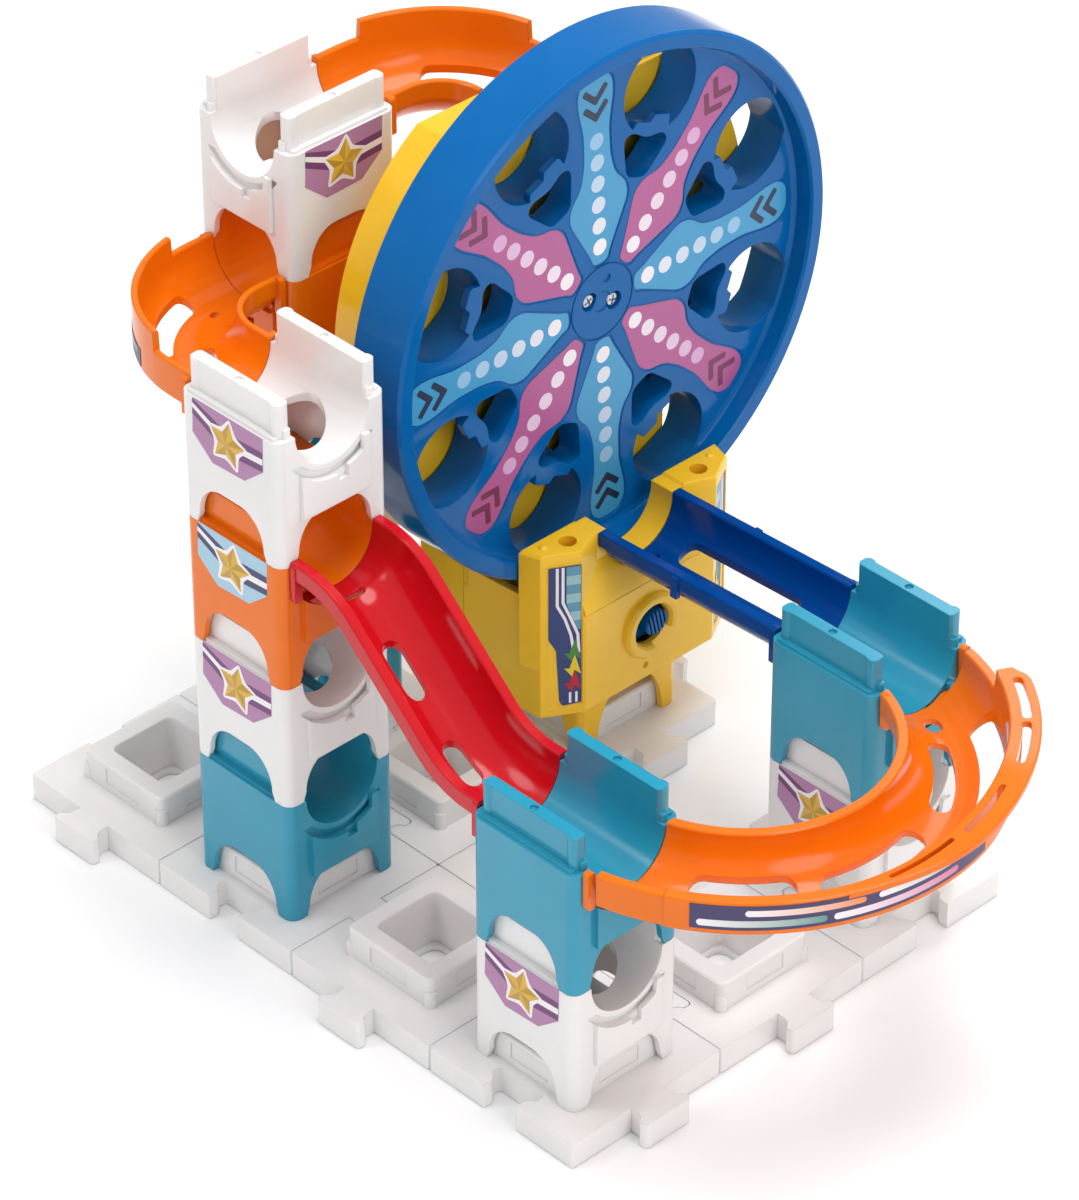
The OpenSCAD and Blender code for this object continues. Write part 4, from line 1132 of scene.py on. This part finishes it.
INK_NAVY, INK_SKY, INK_PALE = srgb(48, 66, 118), srgb(98, 158, 182), srgb(158, 200, 208)
INK_GREEN, INK_YELLOW, INK_RED = srgb(72, 140, 60), srgb(232, 208, 40), srgb(196, 24, 44)


def base_label(flip):
    """Corner label: navy field, two bent white stripes, pale blocks and three arrowheads."""
    p = Print()

    def put(points, ink, lift, low=0.0):
        p.slab([((18.0 - x) if flip else x, y) for x, y in points], ink, lift, low)

    put(smooth_corners([(3.0, 104.0), (15.0, 104.0), (15.0, 82.0), (15.2, 44.0), (8.2, 43.4),
                        (7.0, 45.5), (5.8, 68.0), (3.0, 73.0)], 0.7), INK_NAVY, 0.12)
    for k in range(7):
        top = 103.6 - 3.9 * k
        left = 9.6 if k < 5 else 9.6 + 1.3 * (k - 4)
        ink = INK_PALE if k % 2 else INK_SKY
        put([(left, top), (14.8, top), (14.8, top - 3.86),
             (left + (1.2 if k > 3 else 0), top - 3.86)], ink, 0.15, 0.05)
    for shift in (0.0, 2.1):
        bend = [(6.2 + shift, 103.6), (6.2 + shift, 87.4 + 0.5 * shift), (9.0 + shift, 81.4),
                (11.2 + 1.2 * shift, 74.2), (12.4 + 0.85 * shift, 66.0)]
        put(ribbon(bend, 1.05), PAPER, 0.18, 0.05)
        put(ribbon([(11.0 + 1.1 * shift, 49.0), (11.0 + 1.1 * shift, 44.4)], 0.9), PAPER, 0.18,
            0.05)
    for ink, z in ((INK_GREEN, 65.0), (INK_YELLOW, 58.4), (INK_RED, 51.8)):
        put([(12.7, z + 7.0), (15.0, z - 1.8), (12.5, z + 0.4), (11.7, z - 2.6), (8.8, z + 1.4),
             (10.7, z + 1.1)], ink, 0.21, 0.05)
    return p.mesh("base_label")


UPRIGHT = Matrix(((1, 0, 0, 0), (0, 0, 1, 0), (0, 1, 0, 0), (0, 0, 0, 1)))
for s in (-1, 1):
    place = RUN @ label_face(s) @ move(0, -LABEL_SINK, 0) @ UPRIGHT
    add_object(f"base_label_{'left' if s < 0 else 'right'}", base_label(s > 0), place, ROOT,
               "label_navy", ["base_labels"])

# ---------- curve labels ----------

ORANGE_INK, PINK_INK, MIST = srgb(236, 140, 70), srgb(216, 110, 160), srgb(150, 172, 168)
GREEN_INK, NIGHT = srgb(96, 150, 138), srgb(66, 58, 100)


def low_curve_label():
    p = Print()
    r = LOW_R + 21.05
    start, end = -math.radians(56) * r, math.radians(13) * r
    wrapped(p, r, start, end, -8.3, 1.5, NIGHT, NIGHT, 0.12)
    for a, b, low, high, tint in ((0.02, 0.40, -7.0, -4.4, GREEN_INK),
                                  (0.16, 0.52, -2.6, -0.2, ORANGE_INK),
                                  (0.42, 0.86, -7.0, -4.4, PINK_INK),
                                  (0.56, 0.97, -2.6, -0.2, MIST)):
        wrapped(p, r, start + (end - start) * a, start + (end - start) * b, low, high, PAPER, tint,
                0.17, 1.2, 0.4)
    return p.mesh("low_curve_label")


def middle_curve_label():
    p = Print()
    r = PITCH / 2 + 18.95
    start, end = math.radians(112) * r, math.radians(158) * r
    wrapped(p, r, start, end, -10.2, -3.4, NIGHT, NIGHT, 0.12)
    wrapped(p, r, start + 2, start + 24, -9.2, -7.5, PAPER, GREEN_INK, 0.17, 0.9, 0.4)
    wrapped(p, r, start + 12, end - 3, -6.2, -4.5, PAPER, MIST, 0.17, 0.9, 0.4)
    return p.mesh("middle_curve_label")


add_object("low_curve_label", low_curve_label(), LOW_CURVE_PLACE, ROOT, "label_navy",
           ["curve_labels"])
add_object("middle_curve_label", middle_curve_label(), MIDDLE_CURVE_PLACE, ROOT, "label_navy")

# ---------- block badges ----------

badge_pink = badge(MAUVE, PLUM).mesh("badge_pink")
badge_blue = badge(SKY, INDIGO).mesh("badge_blue")
BADGES = [(1, 0, 2, 0, badge_pink), (1, 0, 3, 0, badge_blue), (1, 0, 4, 0, badge_pink),
          (0, 1, 5, 90, badge_pink), (3, 0, 1, 0, badge_pink), (3, 2, 1, 0, badge_pink)]
for i, j, n, turn, mesh in BADGES:
    centre = tile_centre(i, j, level(n) - 7.4)
    place = centre @ rot("Z", turn) @ move(0, -HALF_BLOCK, 0) @ rot("X", 90)
    stands = ["block_labels"] if (i, n) == (1, 2) else []
    add_object(f"badge_{i}{j}_{n}", mesh, place, ROOT, "label_pink", stands)
